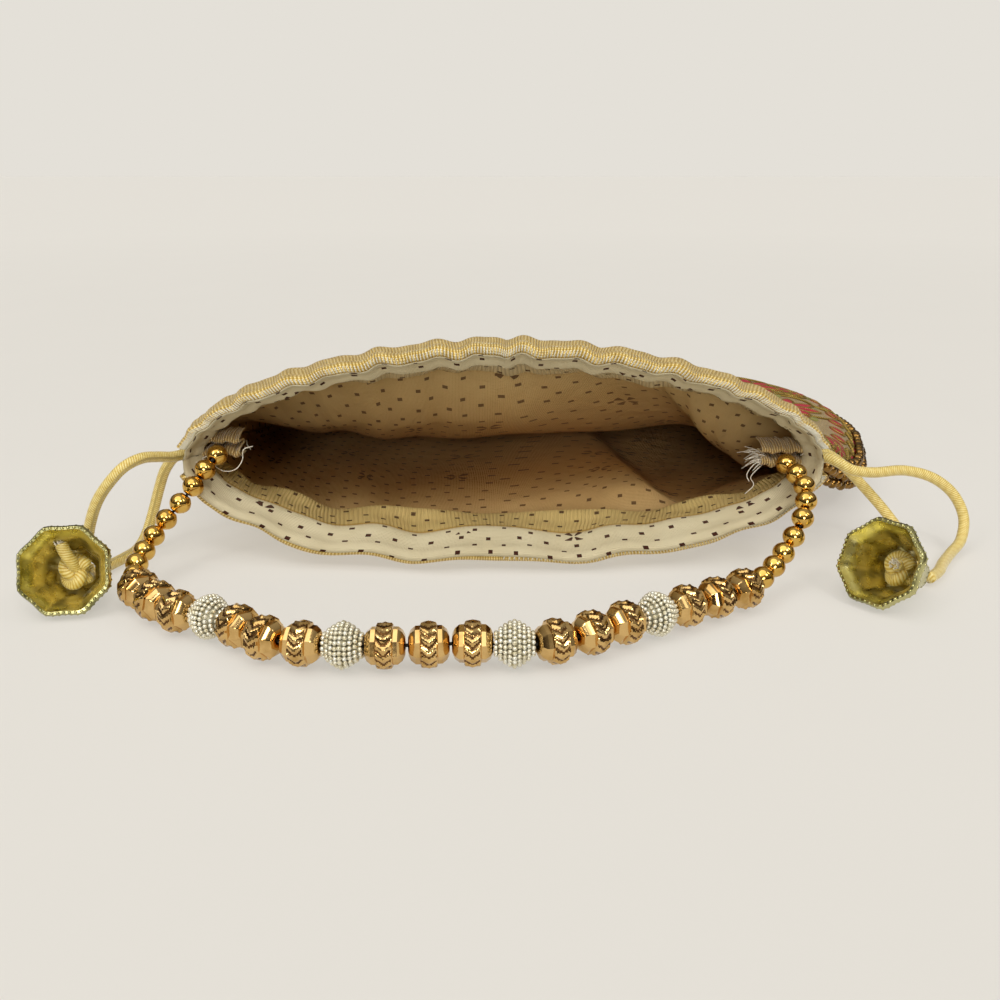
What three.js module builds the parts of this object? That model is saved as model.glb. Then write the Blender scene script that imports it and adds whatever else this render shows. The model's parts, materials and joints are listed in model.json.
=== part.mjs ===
// Potli bag: a drawstring pouch lying on its back with its mouth open.
// Millimetres, +Z up, +X to the right, the mouth faces -Y. The origin is the centre of the base.
// The cloth lies between nested faces of one bag surface, given by the distance s behind the mouth,
// the angle round the section (0 at the right seam, 90 degrees on top) and the inset below the outer face.
import * as THREE from "three";

// ---- Driving dimensions -------------------------------------------------------------------------

// The bag as it lies. Seams run down both sides, and the base of the bag is a rounded U.
const bag = {
  depth: 200, // mouth to the bottom of the U
  mouthHalfWidth: 89.5,
  bodyHalfWidth: 108,
  mouthSeamHeight: 28.5, // height of the side seams at the mouth
  bodySeamHeight: 10,
  mouthRise: 32.5, // from the seams to the top of the mouth
  bodyRise: 20,
  neckBlend: 90, // distance over which the mouth's section turns into the body's
  roundStart: 105, // where the sides start to round towards the bottom
  roundPower: 2.2,
  turn: THREE.MathUtils.degToRad(16), // the body lies turned to the right of its mouth
  turnLength: 75,
  lowerLipForward: 11, // how far the lips stand in front of the mouth's corners
  upperLipForward: 4,
};
const sectionPower = { mouthTop: 1.75, bodyTop: 2.95, mouthBottom: 2.2, bodyBottom: 3.5 };
const baseFlatness = 1.03; // how far the underside is pressed past its curve to lie flat
const mouthCorner = { x: 1, y: 11 }; // middle of the line between the mouth's two corners

// Cloth. The drawstring casing is the channel between the neck band and the lining.
const outerThickness = 1.1;
const liningThickness = 1;
const neckLength = 28;
const panelGap = 0.4; // between the neck bands and the body panels, and at the side seams
const hemDepth = 1.4;
const hemInset = 2.4; // the neck band's hem folds in over the lining's edge
const slitHalfAngle = THREE.MathUtils.degToRad(7.5); // the neck bands stop short of the side seams
const liningInset = 1.9;
const casing = { start: 3.2, full: 5.6, end: 21, shut: 25, inset: 5.3 };
const beadTrim = { start: 36, width: 4, height: 11, gap: 0.5 };

// Drawstrings: round satin cord, one closed by each bell.
const cord = { diameter: 3, sides: 8, inset: 3.2, step: 7.5 };
const jointGap = 0.3;
const loopEndAngle = THREE.MathUtils.degToRad(14);
const loopDepth = { left: 8, right: 14.5 };

// Beads of the handle. bore is the hole for the thread.
const beadBore = 0.9;
const threadRadius = 0.4;
const smallBead = { radius: 2.9, length: 5.2, count: 9 };
const carvedBead = { radius: 5, length: 9.05 };
const pearlBead = { radius: 5.2, length: 8.2 };
const beadGap = 0.45;
const handlePattern = "ccc p ccc p ccc p ccc p ccc".replaceAll(" ", "");

// Bells: an eight-sided cap with a flared rim. The cord passes its top and is knotted on both sides.
const bell = { height: 17, rimRadius: 11.5, topRadius: 5, hole: 3.4, wall: 0.9, sides: 8 };
const bellTilt = THREE.MathUtils.degToRad(23);
const bells = {
  left: { top: [-107.6, -11.7, 4.9], turn: THREE.MathUtils.degToRad(8) },
  right: { top: [105.6, -12.4, 4.9], turn: THREE.MathUtils.degToRad(-53) },
};
const knotRadius = { inner: 3.7, outer: 3 };

// Centre line of the beaded handle, from the left tab round the floor to the right tab.
const handleRoute = [
  [-76.6, 17, 29.8],
  [-78.3, 12, 28.2],
  [-80.8, 9, 25],
  [-83.2, 6, 21.6],
  [-86.6, 3.8, 17.4],
  [-90.6, 1.2, 13],
  [-92.8, -5, 9.2],
  [-93.2, -12.6, 7],
  [-89.6, -22.8, 5.6],
  [-83.2, -30.4, 5.5],
  [-76.8, -36.6, 5.5],
  [-69, -39.6, 5.5],
  [-61.2, -43.8, 5.5],
  [-53.4, -50.6, 5.5],
  [-44.8, -54.2, 5.6],
  [-27.2, -55.4, 5.5],
  [-7.3, -54.4, 5.5],
  [11.2, -53.6, 5.5],
  [28.3, -43.8, 5.5],
  [44.7, -34, 5.5],
  [61.3, -23.2, 5.6],
  [67.6, -17.4, 7],
  [74.2, -9.6, 11],
  [78.8, -5.2, 17.4],
  [81.2, 3, 22.8],
  [79.6, 12.4, 25.8],
  [77.6, 17.6, 26.8],
];

// Free ends of the two drawstrings, from the casing to the knot behind each bell.
const strandRoutes = {
  drawstring_left_strand_upper: [
    [-83.15, 19.4, 33.5],
    [-85, 18.7, 31],
    [-87.4, 17.2, 28.6],
    [-90.2, 14.8, 28.2],
    [-93, 10.4, 29.4],
    [-95.4, 5.4, 30.4],
    [-98.7, 1.4, 29.2],
    [-102.5, 0, 25.4],
    [-106.4, 0.2, 20.2],
    [-109, 0.4, 14.4],
    [-110.6, 0.2, 8.6],
    [-110.7, -2.2, 4.2],
    [-110.2, -5.8, 2.7],
  ],
  drawstring_left_strand_lower: [
    [-83.6, 19.1, 21.4],
    [-85.4, 19.9, 24.1],
    [-88.2, 21, 26.6],
    [-91.6, 21.6, 26.4],
    [-95.2, 22.2, 22.4],
    [-97.8, 22.6, 16.4],
    [-100, 22.2, 9.8],
    [-101.4, 18.6, 4.2],
    [-102.2, 12.4, 1.8],
    [-103.4, 6.2, 1.8],
    [-105.6, 0, 1.8],
    [-106.8, -5.2, 2.1],
  ],
  drawstring_right_strand_upper: [
    [86.1, 22.8, 33],
    [88.1, 23, 30.3],
    [90, 23.5, 27.7],
    [93, 24.8, 26.4],
    [97, 26.4, 24],
    [101.6, 27.8, 20],
    [106.8, 27.4, 14.8],
    [111.6, 24.4, 9.4],
    [115, 18.6, 4.4],
    [115.4, 11, 1.8],
    [113.2, 4.4, 1.8],
    [111.6, -1.6, 1.8],
    [109.9, -6.6, 2.2],
  ],
  drawstring_right_strand_lower: [
    [86.85, 22.6, 20.85],
    [88, 22, 22.8],
    [89.4, 21.1, 25.1],
    [91.4, 19.8, 26.6],
    [94.6, 18.4, 25.6],
    [98.4, 17.6, 23.6],
    [104.6, 18.4, 22.6],
    [115.3, 21.6, 22.2],
    [124, 22.4, 19.6],
    [130.4, 22.4, 14.6],
    [133.2, 20.6, 8.6],
    [131, 15.6, 3.6],
    [125.6, 9.4, 1.8],
    [120.4, 2, 1.8],
    [116.4, -4.4, 1.8],
    [112, -9.5, 2.2],
  ],
};

// Folded tabs that hold the handle's thread inside the mouth's corners, and their centres.
const tab = { width: 9.5, length: 10, thickness: 2.4 };
const tabs = {
  left: [-76, 22.4, 29.8],
  right: [77.6, 23, 26.8],
};

// Moves the construction so that the origin is the centre of the base.
const originShift = [-17.52, -77.69, panelGap / 2];

// ---- The bag's surface --------------------------------------------------------------------------

const { lerp, smoothstep } = THREE.MathUtils;

const signedPower = (value, power) => Math.sign(value) * Math.abs(value) ** power;

// Centre line of the bag, turning to the right as it leaves the mouth.
function centreLine(distance) {
  const steps = 24;
  const point = new THREE.Vector2(mouthCorner.x, mouthCorner.y);
  for (let i = 0; i < steps; i += 1) {
    const at = ((i + 0.5) / steps) * distance;
    const heading = bag.turn * smoothstep(at, 0, bag.turnLength);
    point.x += (Math.sin(heading) * distance) / steps;
    point.y += (Math.cos(heading) * distance) / steps;
  }
  return { point, heading: bag.turn * smoothstep(distance, 0, bag.turnLength) };
}

// A point of the bag: s behind the mouth, the angle round the section, and the inset below the outer face.
// lift parts the upper and the lower cloth at the side seams.
function bagPoint(s, angle, inset, lift = 0) {
  const body = smoothstep(s, 0, bag.neckBlend);
  const past = Math.max(0, (s - bag.roundStart) / (bag.depth - bag.roundStart));
  const round = Math.max(0, 1 - past ** bag.roundPower) ** (1 / bag.roundPower);
  const seam = lerp(bag.mouthSeamHeight, bag.bodySeamHeight, body);
  const above = Math.sin(angle) >= 0;
  const rise = above ? lerp(bag.mouthRise, bag.bodyRise, body) : seam;
  const power = above
    ? lerp(sectionPower.mouthTop, sectionPower.bodyTop, body)
    : lerp(sectionPower.mouthBottom, sectionPower.bodyBottom, body);
  const halfWidth = lerp(bag.mouthHalfWidth, bag.bodyHalfWidth, body);
  const across = (halfWidth - inset) * round * signedPower(Math.cos(angle), 2 / power);
  const curved = signedPower(Math.sin(angle), 2 / power);
  const up = (rise - inset) * round * (above ? curved : Math.max(-1, curved * baseFlatness));
  const { point, heading } = centreLine((s * (bag.depth - inset)) / bag.depth);
  const forward = above ? bag.upperLipForward : bag.lowerLipForward;
  const lip = forward * Math.sin(angle) ** 2 * (1 - smoothstep(s, 0, bag.turnLength));
  return new THREE.Vector3(
    point.x + across * Math.cos(heading),
    point.y - across * Math.sin(heading) - lip,
    seam + up + lift,
  );
}

// ---- Mesh building ------------------------------------------------------------------------------

// Closed solid through rings of points. Every ring is a loop with the same even number of points. Rings
// that meet in one point share it. An open row of rings is closed by a strip of faces across each end ring.
function skin(rings, closed = false) {
  const vertices = [];
  const lookup = new Map();
  const indexOf = (p) => {
    const key = [p.x, p.y, p.z].map((value) => value.toFixed(4)).join();
    if (!lookup.has(key)) {
      lookup.set(key, vertices.length / 3);
      vertices.push(p.x, p.y, p.z);
    }
    return lookup.get(key);
  };
  const grid = rings.map((ring) => ring.map(indexOf));
  const faces = [];
  const addFace = (a, b, c) => {
    if (a !== b && b !== c && c !== a) {
      faces.push(a, b, c);
    }
  };
  const last = closed ? grid.length : grid.length - 1;
  for (let i = 0; i < last; i += 1) {
    const here = grid[i];
    const next = grid[(i + 1) % grid.length];
    for (let j = 0; j < here.length; j += 1) {
      const k = (j + 1) % here.length;
      addFace(here[j], next[j], next[k]);
      addFace(here[j], next[k], here[k]);
    }
  }
  if (!closed) {
    const first = grid[0];
    const final = grid.at(-1);
    const count = first.length;
    for (let j = 0; j < count / 2 - 1; j += 1) {
      const across = count - 1 - j;
      addFace(first[j], first[j + 1], first[across - 1]);
      addFace(first[j], first[across - 1], first[across]);
      addFace(final[across - 1], final[j + 1], final[j]);
      addFace(final[across], final[across - 1], final[j]);
    }
  }
  return facingOut(vertices, faces);
}

// A round outline, counter-clockwise, with one point for each side.
function roundOutline(count, radius = 1) {
  return Array.from({ length: count }, (_, i) => {
    const angle = (2 * Math.PI * i) / count;
    return new THREE.Vector2(radius * Math.cos(angle), radius * Math.sin(angle));
  });
}

// A mesh from vertices and faces, turned so that its faces point out.
function facingOut(vertices, faces) {
  let volume = 0;
  const at = (i) => new THREE.Vector3().fromArray(vertices, 3 * i);
  for (let i = 0; i < faces.length; i += 3) {
    volume += at(faces[i]).dot(at(faces[i + 1]).cross(at(faces[i + 2])));
  }
  if (volume < 0) {
    faces.reverse();
  }
  const geometry = new THREE.BufferGeometry();
  geometry.setAttribute("position", new THREE.Float32BufferAttribute(vertices, 3));
  geometry.setIndex(faces);
  geometry.computeVertexNormals();
  return geometry;
}

const spread = (from, to, steps) => Array.from({ length: steps + 1 }, (_, i) => lerp(from, to, i / steps));

// A sheet of cloth: its section in s and inset, swept round the bag through the given angles.
function clothGeometry(section, angles, { closed = false, lift = 0 } = {}) {
  const rings = angles.map((angle) => section.map(([s, inset]) => bagPoint(s, angle, inset, lift)));
  return skin(rings, closed);
}

// A round tube through points, each ring square to the direction of travel.
function tubeGeometry(points, radius, sides) {
  const frames = points.map((point, i) => {
    const before = points[Math.max(0, i - 1)];
    const after = points[Math.min(points.length - 1, i + 1)];
    return { point, along: after.clone().sub(before).normalize() };
  });
  let side = new THREE.Vector3(0, 0, 1).cross(frames[0].along).normalize();
  const rings = frames.map(({ point, along }) => {
    side = side.clone().addScaledVector(along, -side.dot(along)).normalize();
    const up = along.clone().cross(side);
    return roundOutline(sides, radius).map((q) => point.clone().addScaledVector(side, q.x).addScaledVector(up, q.y));
  });
  return skin(rings);
}

const vectors = (list) => list.map((p) => new THREE.Vector3(...p));

// ---- Materials ----------------------------------------------------------------------------------

const finish = (color, roughness, metalness) => ({ color, roughness, metalness });
const finishes = {
  goldWeave: finish(0xc9a55c, 0.55, 0.25),
  embroidery: finish(0xa88a55, 0.7, 0.15),
  cotton: finish(0xd8cdb0, 0.85, 0),
  satin: finish(0xd9bd62, 0.45, 0),
  antiqueGold: finish(0x8c6a2e, 0.35, 0.9),
  polishedGold: finish(0xc9922e, 0.15, 1),
  pearl: finish(0xd9dccb, 0.3, 0.1),
  oldBrass: finish(0xb7ab72, 0.3, 0.9),
  blackThread: finish(0x1b1713, 0.8, 0),
};

const model = new THREE.Group();
model.position.set(...originShift);

function addPart(name, geometry, material, parent = model) {
  const mesh = new THREE.Mesh(geometry, new THREE.MeshStandardMaterial(material));
  mesh.name = name;
  parent.add(mesh);
  return mesh;
}

// ---- Cloth --------------------------------------------------------------------------------------

const topAngles = spread(0, Math.PI, 22);
const bottomAngles = spread(-Math.PI, 0, 22);

const panelStations = [neckLength + panelGap, 45, 68, 92, 115, 138, 158, 174, 186, 194, 198.4, bag.depth];
const panelSection = [
  ...panelStations.map((s) => [s, 0]),
  ...panelStations.toReversed().map((s) => [s, outerThickness]),
];
addPart("front_panel", clothGeometry(panelSection, topAngles, { lift: panelGap / 2 }), finishes.embroidery);
addPart("back_panel", clothGeometry(panelSection, bottomAngles, { lift: -panelGap / 2 }), finishes.embroidery);

const bandSection = [
  [0, 0],
  [hemDepth / 2, 0],
  [hemDepth, 0],
  [9, 0],
  [18, 0],
  [neckLength, 0],
  [neckLength, outerThickness],
  [18, outerThickness],
  [9, outerThickness],
  [hemDepth, outerThickness],
  [hemDepth, hemInset],
  [0, hemInset],
];
const frontBandAngles = spread(slitHalfAngle, Math.PI - slitHalfAngle, 22);
const backBandAngles = spread(-Math.PI + slitHalfAngle, -slitHalfAngle, 22);
addPart("neck_band_front", clothGeometry(bandSection, frontBandAngles), finishes.goldWeave);
addPart("neck_band_back", clothGeometry(bandSection, backBandAngles), finishes.goldWeave);

// The lining is one pouch. Its outer face steps in to leave the casing's channel for the drawstrings.
const liningFace = [
  [hemDepth + jointGap, outerThickness + jointGap],
  [casing.start, outerThickness + jointGap + 0.2],
  [casing.full, casing.inset],
  [13, casing.inset],
  [casing.end, casing.inset],
  [casing.shut, liningInset + 0.4],
  ...panelStations.map((s) => [s, liningInset]),
];
const liningSection = [
  ...liningFace,
  ...liningFace.toReversed().map(([s, inset]) => [s, inset + liningThickness]),
];
const liningAngles = spread(0, 2 * Math.PI, 40).slice(0, -1);
addPart("lining", clothGeometry(liningSection, liningAngles, { closed: true }), finishes.cotton);

// Bead trim: a flat band of small beads sewn along both side seams and round the bottom.
function beadTrimGeometry() {
  const stations = [beadTrim.start, 55, 75, 95, 115, 135, 152, 166, 178, 187, 193.5, 197.6, 199.5];
  const seamPoint = (s, angle) => bagPoint(s, angle, 0);
  const route = [
    ...stations.map((s) => seamPoint(s, 0)),
    seamPoint(bag.depth, 0),
    ...stations.toReversed().map((s) => seamPoint(s, Math.PI)),
  ];
  const half = beadTrim.height / 2;
  const outline = [
    [beadTrim.gap, -half],
    [beadTrim.gap + beadTrim.width * 0.7, -half],
    [beadTrim.gap + beadTrim.width, -half * 0.4],
    [beadTrim.gap + beadTrim.width, half * 0.4],
    [beadTrim.gap + beadTrim.width * 0.7, half],
    [beadTrim.gap, half],
  ];
  const rings = route.map((point, i) => {
    const along = route[Math.min(route.length - 1, i + 1)].clone().sub(route[Math.max(0, i - 1)]);
    const outward = new THREE.Vector3(along.y, -along.x, 0).normalize();
    return outline.map(([out, up]) => point.clone().addScaledVector(outward, out).add(new THREE.Vector3(0, 0, up)));
  });
  return skin(rings);
}
addPart("bead_trim", beadTrimGeometry(), finishes.antiqueGold);

// Folded tabs: a strip doubled over, standing in from the corner of the mouth.
function tabGeometry() {
  const radius = tab.thickness / 2;
  const straight = tab.length - tab.thickness;
  const outline = new THREE.Shape();
  outline.moveTo(0, -radius);
  outline.lineTo(straight, -radius);
  outline.absarc(straight, 0, radius, -Math.PI / 2, Math.PI / 2);
  outline.lineTo(0, radius);
  outline.closePath();
  const geometry = new THREE.ExtrudeGeometry(outline, { depth: tab.width, bevelEnabled: false, curveSegments: 4 });
  geometry.translate(-tab.length / 2, 0, -tab.width / 2);
  geometry.rotateX(Math.PI / 2);
  geometry.rotateZ(-Math.PI / 2);
  return geometry;
}
for (const [side, centre] of Object.entries(tabs)) {
  const mesh = addPart(`tab_${side}`, tabGeometry(), finishes.goldWeave);
  mesh.position.set(...centre);
}

// ---- Drawstrings --------------------------------------------------------------------------------

// The part of a drawstring inside the casing: once round the mouth, open at its own side.
function loopPoints(side) {
  const start = side === "left" ? -Math.PI : 0;
  const steps = 52;
  const angles = spread(start + loopEndAngle, start + 2 * Math.PI - loopEndAngle, steps);
  return angles.map((angle) => bagPoint(loopDepth[side], angle, cord.inset));
}
for (const side of ["left", "right"]) {
  addPart(`drawstring_${side}_loop`, tubeGeometry(loopPoints(side), cord.diameter / 2, cord.sides), finishes.satin);
}
for (const [name, list] of Object.entries(strandRoutes)) {
  const curve = new THREE.CatmullRomCurve3(vectors(list), false, "centripetal");
  const points = curve.getSpacedPoints(Math.ceil(curve.getLength() / (cord.step * 0.6)));
  addPart(name, tubeGeometry(points, cord.diameter / 2, cord.sides), finishes.satin);
}

// ---- Beaded handle ------------------------------------------------------------------------------

function lathe(profile, sides) {
  const points = [...profile, profile[0]].map(([radius, height]) => new THREE.Vector2(radius, height));
  const rings = Array.from({ length: sides }, (_, i) => {
    const angle = (2 * Math.PI * i) / sides;
    return points.slice(0, -1).map((p) => new THREE.Vector3(p.x * Math.cos(angle), p.x * Math.sin(angle), p.y));
  });
  return skin(rings, true);
}

const roundProfile = (radius, length, stops) => [
  [beadBore, -length / 2],
  ...stops.map(([r, h]) => [radius * r, (length / 2) * h]),
  [beadBore, length / 2],
];
const beadKinds = {
  s: { ...smallBead, sides: 8, stops: [[0.8, -0.62], [1, 0], [0.8, 0.62]], material: finishes.polishedGold },
  c: {
    ...carvedBead,
    sides: 10,
    stops: [[0.36, -1], [0.74, -0.72], [0.98, -0.24], [0.98, 0.24], [0.74, 0.72], [0.36, 1]],
    material: finishes.antiqueGold,
  },
  p: {
    ...pearlBead,
    sides: 10,
    stops: [[0.4, -0.98], [0.8, -0.58], [1, 0], [0.8, 0.58], [0.4, 0.98]],
    material: finishes.pearl,
  },
};

// Every bead in order along the thread: its kind, its name and its place on the handle's centre line.
function strungBeads() {
  const kinds = ["s".repeat(smallBead.count), handlePattern, "s".repeat(smallBead.count)].join("");
  const curve = new THREE.CatmullRomCurve3(vectors(handleRoute), false, "centripetal");
  curve.arcLengthDivisions = 2000;
  const lengths = [...kinds].map((kind) => beadKinds[kind].length);
  const strung = lengths.reduce((sum, length) => sum + length + beadGap, -beadGap);
  const total = curve.getLength();
  let at = (total - strung) / 2;
  const counts = { c: 0, p: 0 };
  return [...kinds].map((kind, i) => {
    const middle = (at + lengths[i] / 2) / total;
    at += lengths[i] + beadGap;
    let name = `small_bead_left_${i + 1}`;
    if (i >= kinds.length - smallBead.count) {
      name = `small_bead_right_${kinds.length - i}`;
    } else if (kind !== "s") {
      counts[kind] += 1;
      name = `${kind === "c" ? "carved" : "pearl"}_bead_${counts[kind]}`;
    }
    return { kind, name, centre: curve.getPointAt(middle), along: curve.getTangentAt(middle) };
  });
}

const beads = strungBeads();
for (const { kind, name, centre, along } of beads) {
  const { radius, length, stops, sides, material } = beadKinds[kind];
  const mesh = addPart(name, lathe(roundProfile(radius, length, stops), sides), material);
  mesh.position.copy(centre);
  mesh.quaternion.setFromUnitVectors(new THREE.Vector3(0, 0, 1), along);
}

// The thread runs straight through every bead and ends at the tabs.
const threadPoints = beads.flatMap(({ kind, centre, along }) => {
  const half = beadKinds[kind].length / 2;
  return [centre.clone().addScaledVector(along, -half), centre.clone().addScaledVector(along, half)];
});
threadPoints.unshift(new THREE.Vector3(...handleRoute[0]));
threadPoints.push(new THREE.Vector3(...handleRoute.at(-1)));
addPart("handle_thread", tubeGeometry(threadPoints, threadRadius, 6), finishes.blackThread);

// ---- Bells and knots ----------------------------------------------------------------------------

const bellProfile = [
  [bell.hole, 0],
  [bell.topRadius, 0],
  [6.6, 0.3 * bell.height],
  [8.2, 0.6 * bell.height],
  [9.2, 0.8 * bell.height],
  [bell.rimRadius, 0.88 * bell.height],
  [bell.rimRadius, bell.height],
  [bell.rimRadius - bell.wall, bell.height],
  [9.2 - bell.wall, 0.86 * bell.height],
  [8.2 - bell.wall, 0.6 * bell.height],
  [6.6 - bell.wall, 0.3 * bell.height],
  [bell.topRadius - bell.wall, bell.wall],
  [bell.hole, bell.wall],
];
// The knot inside the bell has a neck that passes through the hole in the bell's top.
const innerKnotProfile = [
  [0, 0.1],
  [2.5, 0.1],
  [2.5, bell.wall + 0.5],
  [knotRadius.inner, 3.2],
  [knotRadius.inner, 5.6],
  [2.4, 8.2],
  [0, 8.8],
];
const outerKnotProfile = [
  [0, -5.6],
  [1.9, -5.3],
  [knotRadius.outer, -4],
  [knotRadius.outer, -2],
  [2.3, -0.5],
  [0, -0.4],
];

function solidLathe(profile, sides) {
  const points = profile.map(([radius, height]) => new THREE.Vector3(radius, 0, height));
  const rings = Array.from({ length: sides }, (_, i) => {
    const angle = (2 * Math.PI * i) / sides;
    return points.map((p) => p.clone().applyAxisAngle(new THREE.Vector3(0, 0, 1), angle));
  });
  return skin(rings, true);
}

for (const [side, { top, turn }] of Object.entries(bells)) {
  const place = new THREE.Group();
  place.position.set(...top);
  place.rotation.order = "ZXY";
  place.rotation.set(Math.PI / 2 - bellTilt, 0, turn);
  model.add(place);
  const cap = addPart(`bell_${side}`, lathe(bellProfile, bell.sides), finishes.oldBrass, place);
  cap.rotation.z = Math.PI / bell.sides;
  addPart(`knot_${side}_inner`, solidLathe(innerKnotProfile, 10), finishes.satin, place);
  addPart(`knot_${side}_outer`, solidLathe(outerKnotProfile, 10), finishes.satin, place);
}

export default model;
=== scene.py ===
"""Potli bag: a drawstring pouch lying on its back with its mouth open.

The cloth follows the bag's surface in the frame. Cords, beads, bells and stitching are laid on it.
Distances in the names s, across and inset are millimetres, as in the construction. Meshes are in metres.
"""

import json
import math
import random
from functools import lru_cache

import bmesh
import bpy
from mathutils import Euler, Matrix, Vector


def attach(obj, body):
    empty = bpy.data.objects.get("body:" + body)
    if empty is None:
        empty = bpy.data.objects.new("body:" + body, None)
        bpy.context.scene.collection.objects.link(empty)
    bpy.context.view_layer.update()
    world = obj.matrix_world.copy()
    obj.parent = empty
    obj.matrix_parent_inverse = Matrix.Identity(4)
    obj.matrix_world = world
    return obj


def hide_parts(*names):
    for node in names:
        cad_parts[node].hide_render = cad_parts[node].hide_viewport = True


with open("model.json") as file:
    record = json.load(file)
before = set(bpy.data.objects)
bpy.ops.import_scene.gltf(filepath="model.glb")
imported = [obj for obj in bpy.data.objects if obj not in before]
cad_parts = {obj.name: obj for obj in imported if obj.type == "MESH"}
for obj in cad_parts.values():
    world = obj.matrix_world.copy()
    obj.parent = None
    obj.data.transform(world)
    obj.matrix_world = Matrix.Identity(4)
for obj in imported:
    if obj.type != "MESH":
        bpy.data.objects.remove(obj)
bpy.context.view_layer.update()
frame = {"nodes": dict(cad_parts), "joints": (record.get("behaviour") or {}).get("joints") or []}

bl_info = {
    "name": "Potli bag",
    "version": (1, 0, 0),
    "blender": (4, 5, 0),
    "location": "View3D > Sidebar > Potli bag",
    "description": "Builds a beaded drawstring pouch round its construction frame",
    "category": "Object",
}

MM = 0.001
RIGHT = 0.0
LEFT = math.pi


# ---- Colour and numbers -------------------------------------------------------------------------


def linear(hex_colour):
    """A six-digit sRGB colour as linear red, green, blue and alpha."""
    channels = [int(hex_colour[i : i + 2], 16) / 255 for i in (1, 3, 5)]
    return tuple(c / 12.92 if c <= 0.04045 else ((c + 0.055) / 1.055) ** 2.4 for c in channels) + (1.0,)


def grey(level):
    return (level, level, level, 1)


def lerp(a, b, t):
    """The value a share t of the way from a to b."""
    return a + (b - a) * t


def smoothstep(x, low, high):
    """Rises softly from 0 at low to 1 at high."""
    t = min(1.0, max(0.0, (x - low) / (high - low)))
    return t * t * (3 - 2 * t)


def spread(first, last, steps):
    """Even values from the first to the last."""
    return [lerp(first, last, i / steps) for i in range(steps + 1)]


def bump(x, centre, width):
    """A hump of height 1 at the centre."""
    return math.exp(-(((x - centre) / width) ** 2))


def polar(s, across, bearing, away):
    """A place on the cloth at that distance and bearing from another."""
    return s + math.cos(bearing) * away, across + math.sin(bearing) * away


# ---- Settings -----------------------------------------------------------------------------------


def colour_property(name, hex_colour, description):
    colour = linear(hex_colour)
    return bpy.props.FloatVectorProperty(
        name=name, description=description, subtype="COLOR", size=4, min=0, max=1, default=colour
    )


def length_property(name, millimetres, description):
    return bpy.props.FloatProperty(
        name=name, description=description, default=millimetres * MM, min=0, unit="LENGTH", precision=5
    )


class PotliSizes(bpy.types.PropertyGroup):
    """Sizes of the cloth, cords and beads"""

    cloth: length_property("Outer cloth", 0.8, "Thickness of the outer cloth")
    lining: length_property("Lining", 0.5, "Thickness of the lining")
    pleat: length_property("Pleat depth", 0.9, "How deep the drawn mouth is pleated")
    rib: length_property("Rib pitch", 0.85, "Distance from rib to rib in the gold cloth")
    dot_pitch: length_property("Dot pitch", 5.7, "Distance from dot to dot in the lining's print")
    sprig_pitch: length_property("Sprig pitch", 31, "Distance from sprig to sprig in the lining's print")
    cord: length_property("Drawstring", 3, "Diameter of the drawstrings")
    trim_bead: length_property("Trim bead", 3.6, "Diameter of the beads along the seams")
    flower: length_property("Flower", 13, "Radius of an embroidered flower")


class PotliColours(bpy.types.PropertyGroup):
    """Colours of the cloth, cords and metals"""

    gold_yarn: colour_property("Gold yarn", "#DCB95E", "Ribs of the neck band")
    # Painted highlight for the crests of the ribs and painted shade for their grooves.
    gold_light: colour_property("Gold highlight", "#F9EBB4", "Bright yarns and edge stitches")
    gold_shade: colour_property("Gold shade", "#A5822F", "Grooves between the ribs")
    ground: colour_property("Ground", "#C4A76C", "Ground of the embroidered cloth")
    petal: colour_property("Petal", "#9C1024", "Petals of the flowers")
    petal_light: colour_property("Petal highlight", "#BE2136", "Raised threads of the petals")
    zari: colour_property("Zari", "#8C7430", "Twisted gold outlines")
    cotton: colour_property("Cotton", "#DDD1AE", "Lining at the lips")
    cotton_gold: colour_property("Cotton over gold", "#D9BE7C", "Lining over the gold casing")
    # Painted shade: the lining's colour deep in the pouch, darker and browner than at the lips.
    cotton_in_deep_shade: colour_property("Cotton in deep shade", "#CFA265", "Lining deep inside the bag")
    print: colour_property("Print", "#452418", "Dots and sprigs on the lining")
    satin: colour_property("Satin", "#D2B04A", "Drawstrings")
    satin_light: colour_property("Satin highlight", "#EEDD95", "Twisted highlights of the drawstrings")
    polished: colour_property("Polished gold", "#DDB45E", "Small round beads")
    carved: colour_property("Carved gold", "#DDB879", "Carved beads")
    pearl: colour_property("Pearl", "#E6DFC6", "Seed pearls")
    brass: colour_property("Pale brass", "#C4BE86", "Bells")
    trim: colour_property("Antique gold", "#4F3C1D", "Beads along the seams")
    floor: colour_property("Floor", "#97948F", "Paper of the floor, which also glows a little")


def sizes():
    return bpy.context.scene.potli_sizes


def colours():
    return bpy.context.scene.potli_colours


# ---- The bag's surface, as in the construction --------------------------------------------------

ORIGIN = Vector((-17.52, -77.69, 0.2))
DEPTH = 200
MOUTH_HALF_WIDTH = 89.5
BODY_HALF_WIDTH = 108
MOUTH_SEAM_HEIGHT = 28.5
BODY_SEAM_HEIGHT = 10
MOUTH_RISE = 32.5
BODY_RISE = 20
NECK_BLEND = 90
ROUND_START = 105
ROUND_POWER = 2.2
TURN = math.radians(16)
TURN_LENGTH = 75
LOWER_LIP = 11
UPPER_LIP = 4
MOUTH_TOP, BODY_TOP, MOUTH_BOTTOM, BODY_BOTTOM = 1.75, 2.95, 2.2, 3.5
BASE_FLATNESS = 1.03
MOUTH_CORNER = (1, 11)
NECK = 28
# The lower lip touches the floor at its corner on the left. Behind the neck the right side falls in.
LIP_CORNER = math.radians(236)
HOLLOW_SIDE = 9.0
HOLLOW_TOP = 5.0
# The underside rises by the thickness of its stitching, so that this touches the floor.
STITCHING_BELOW = 1.0
# The lining steps in round the drawstrings, hangs from the roof and stands up in one fold.
LINING_INSET = 1.9
CASING_INSET = 5.3
HANGING_ROOF = 14.0
FOLD_HEIGHT = 8.5


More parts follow.
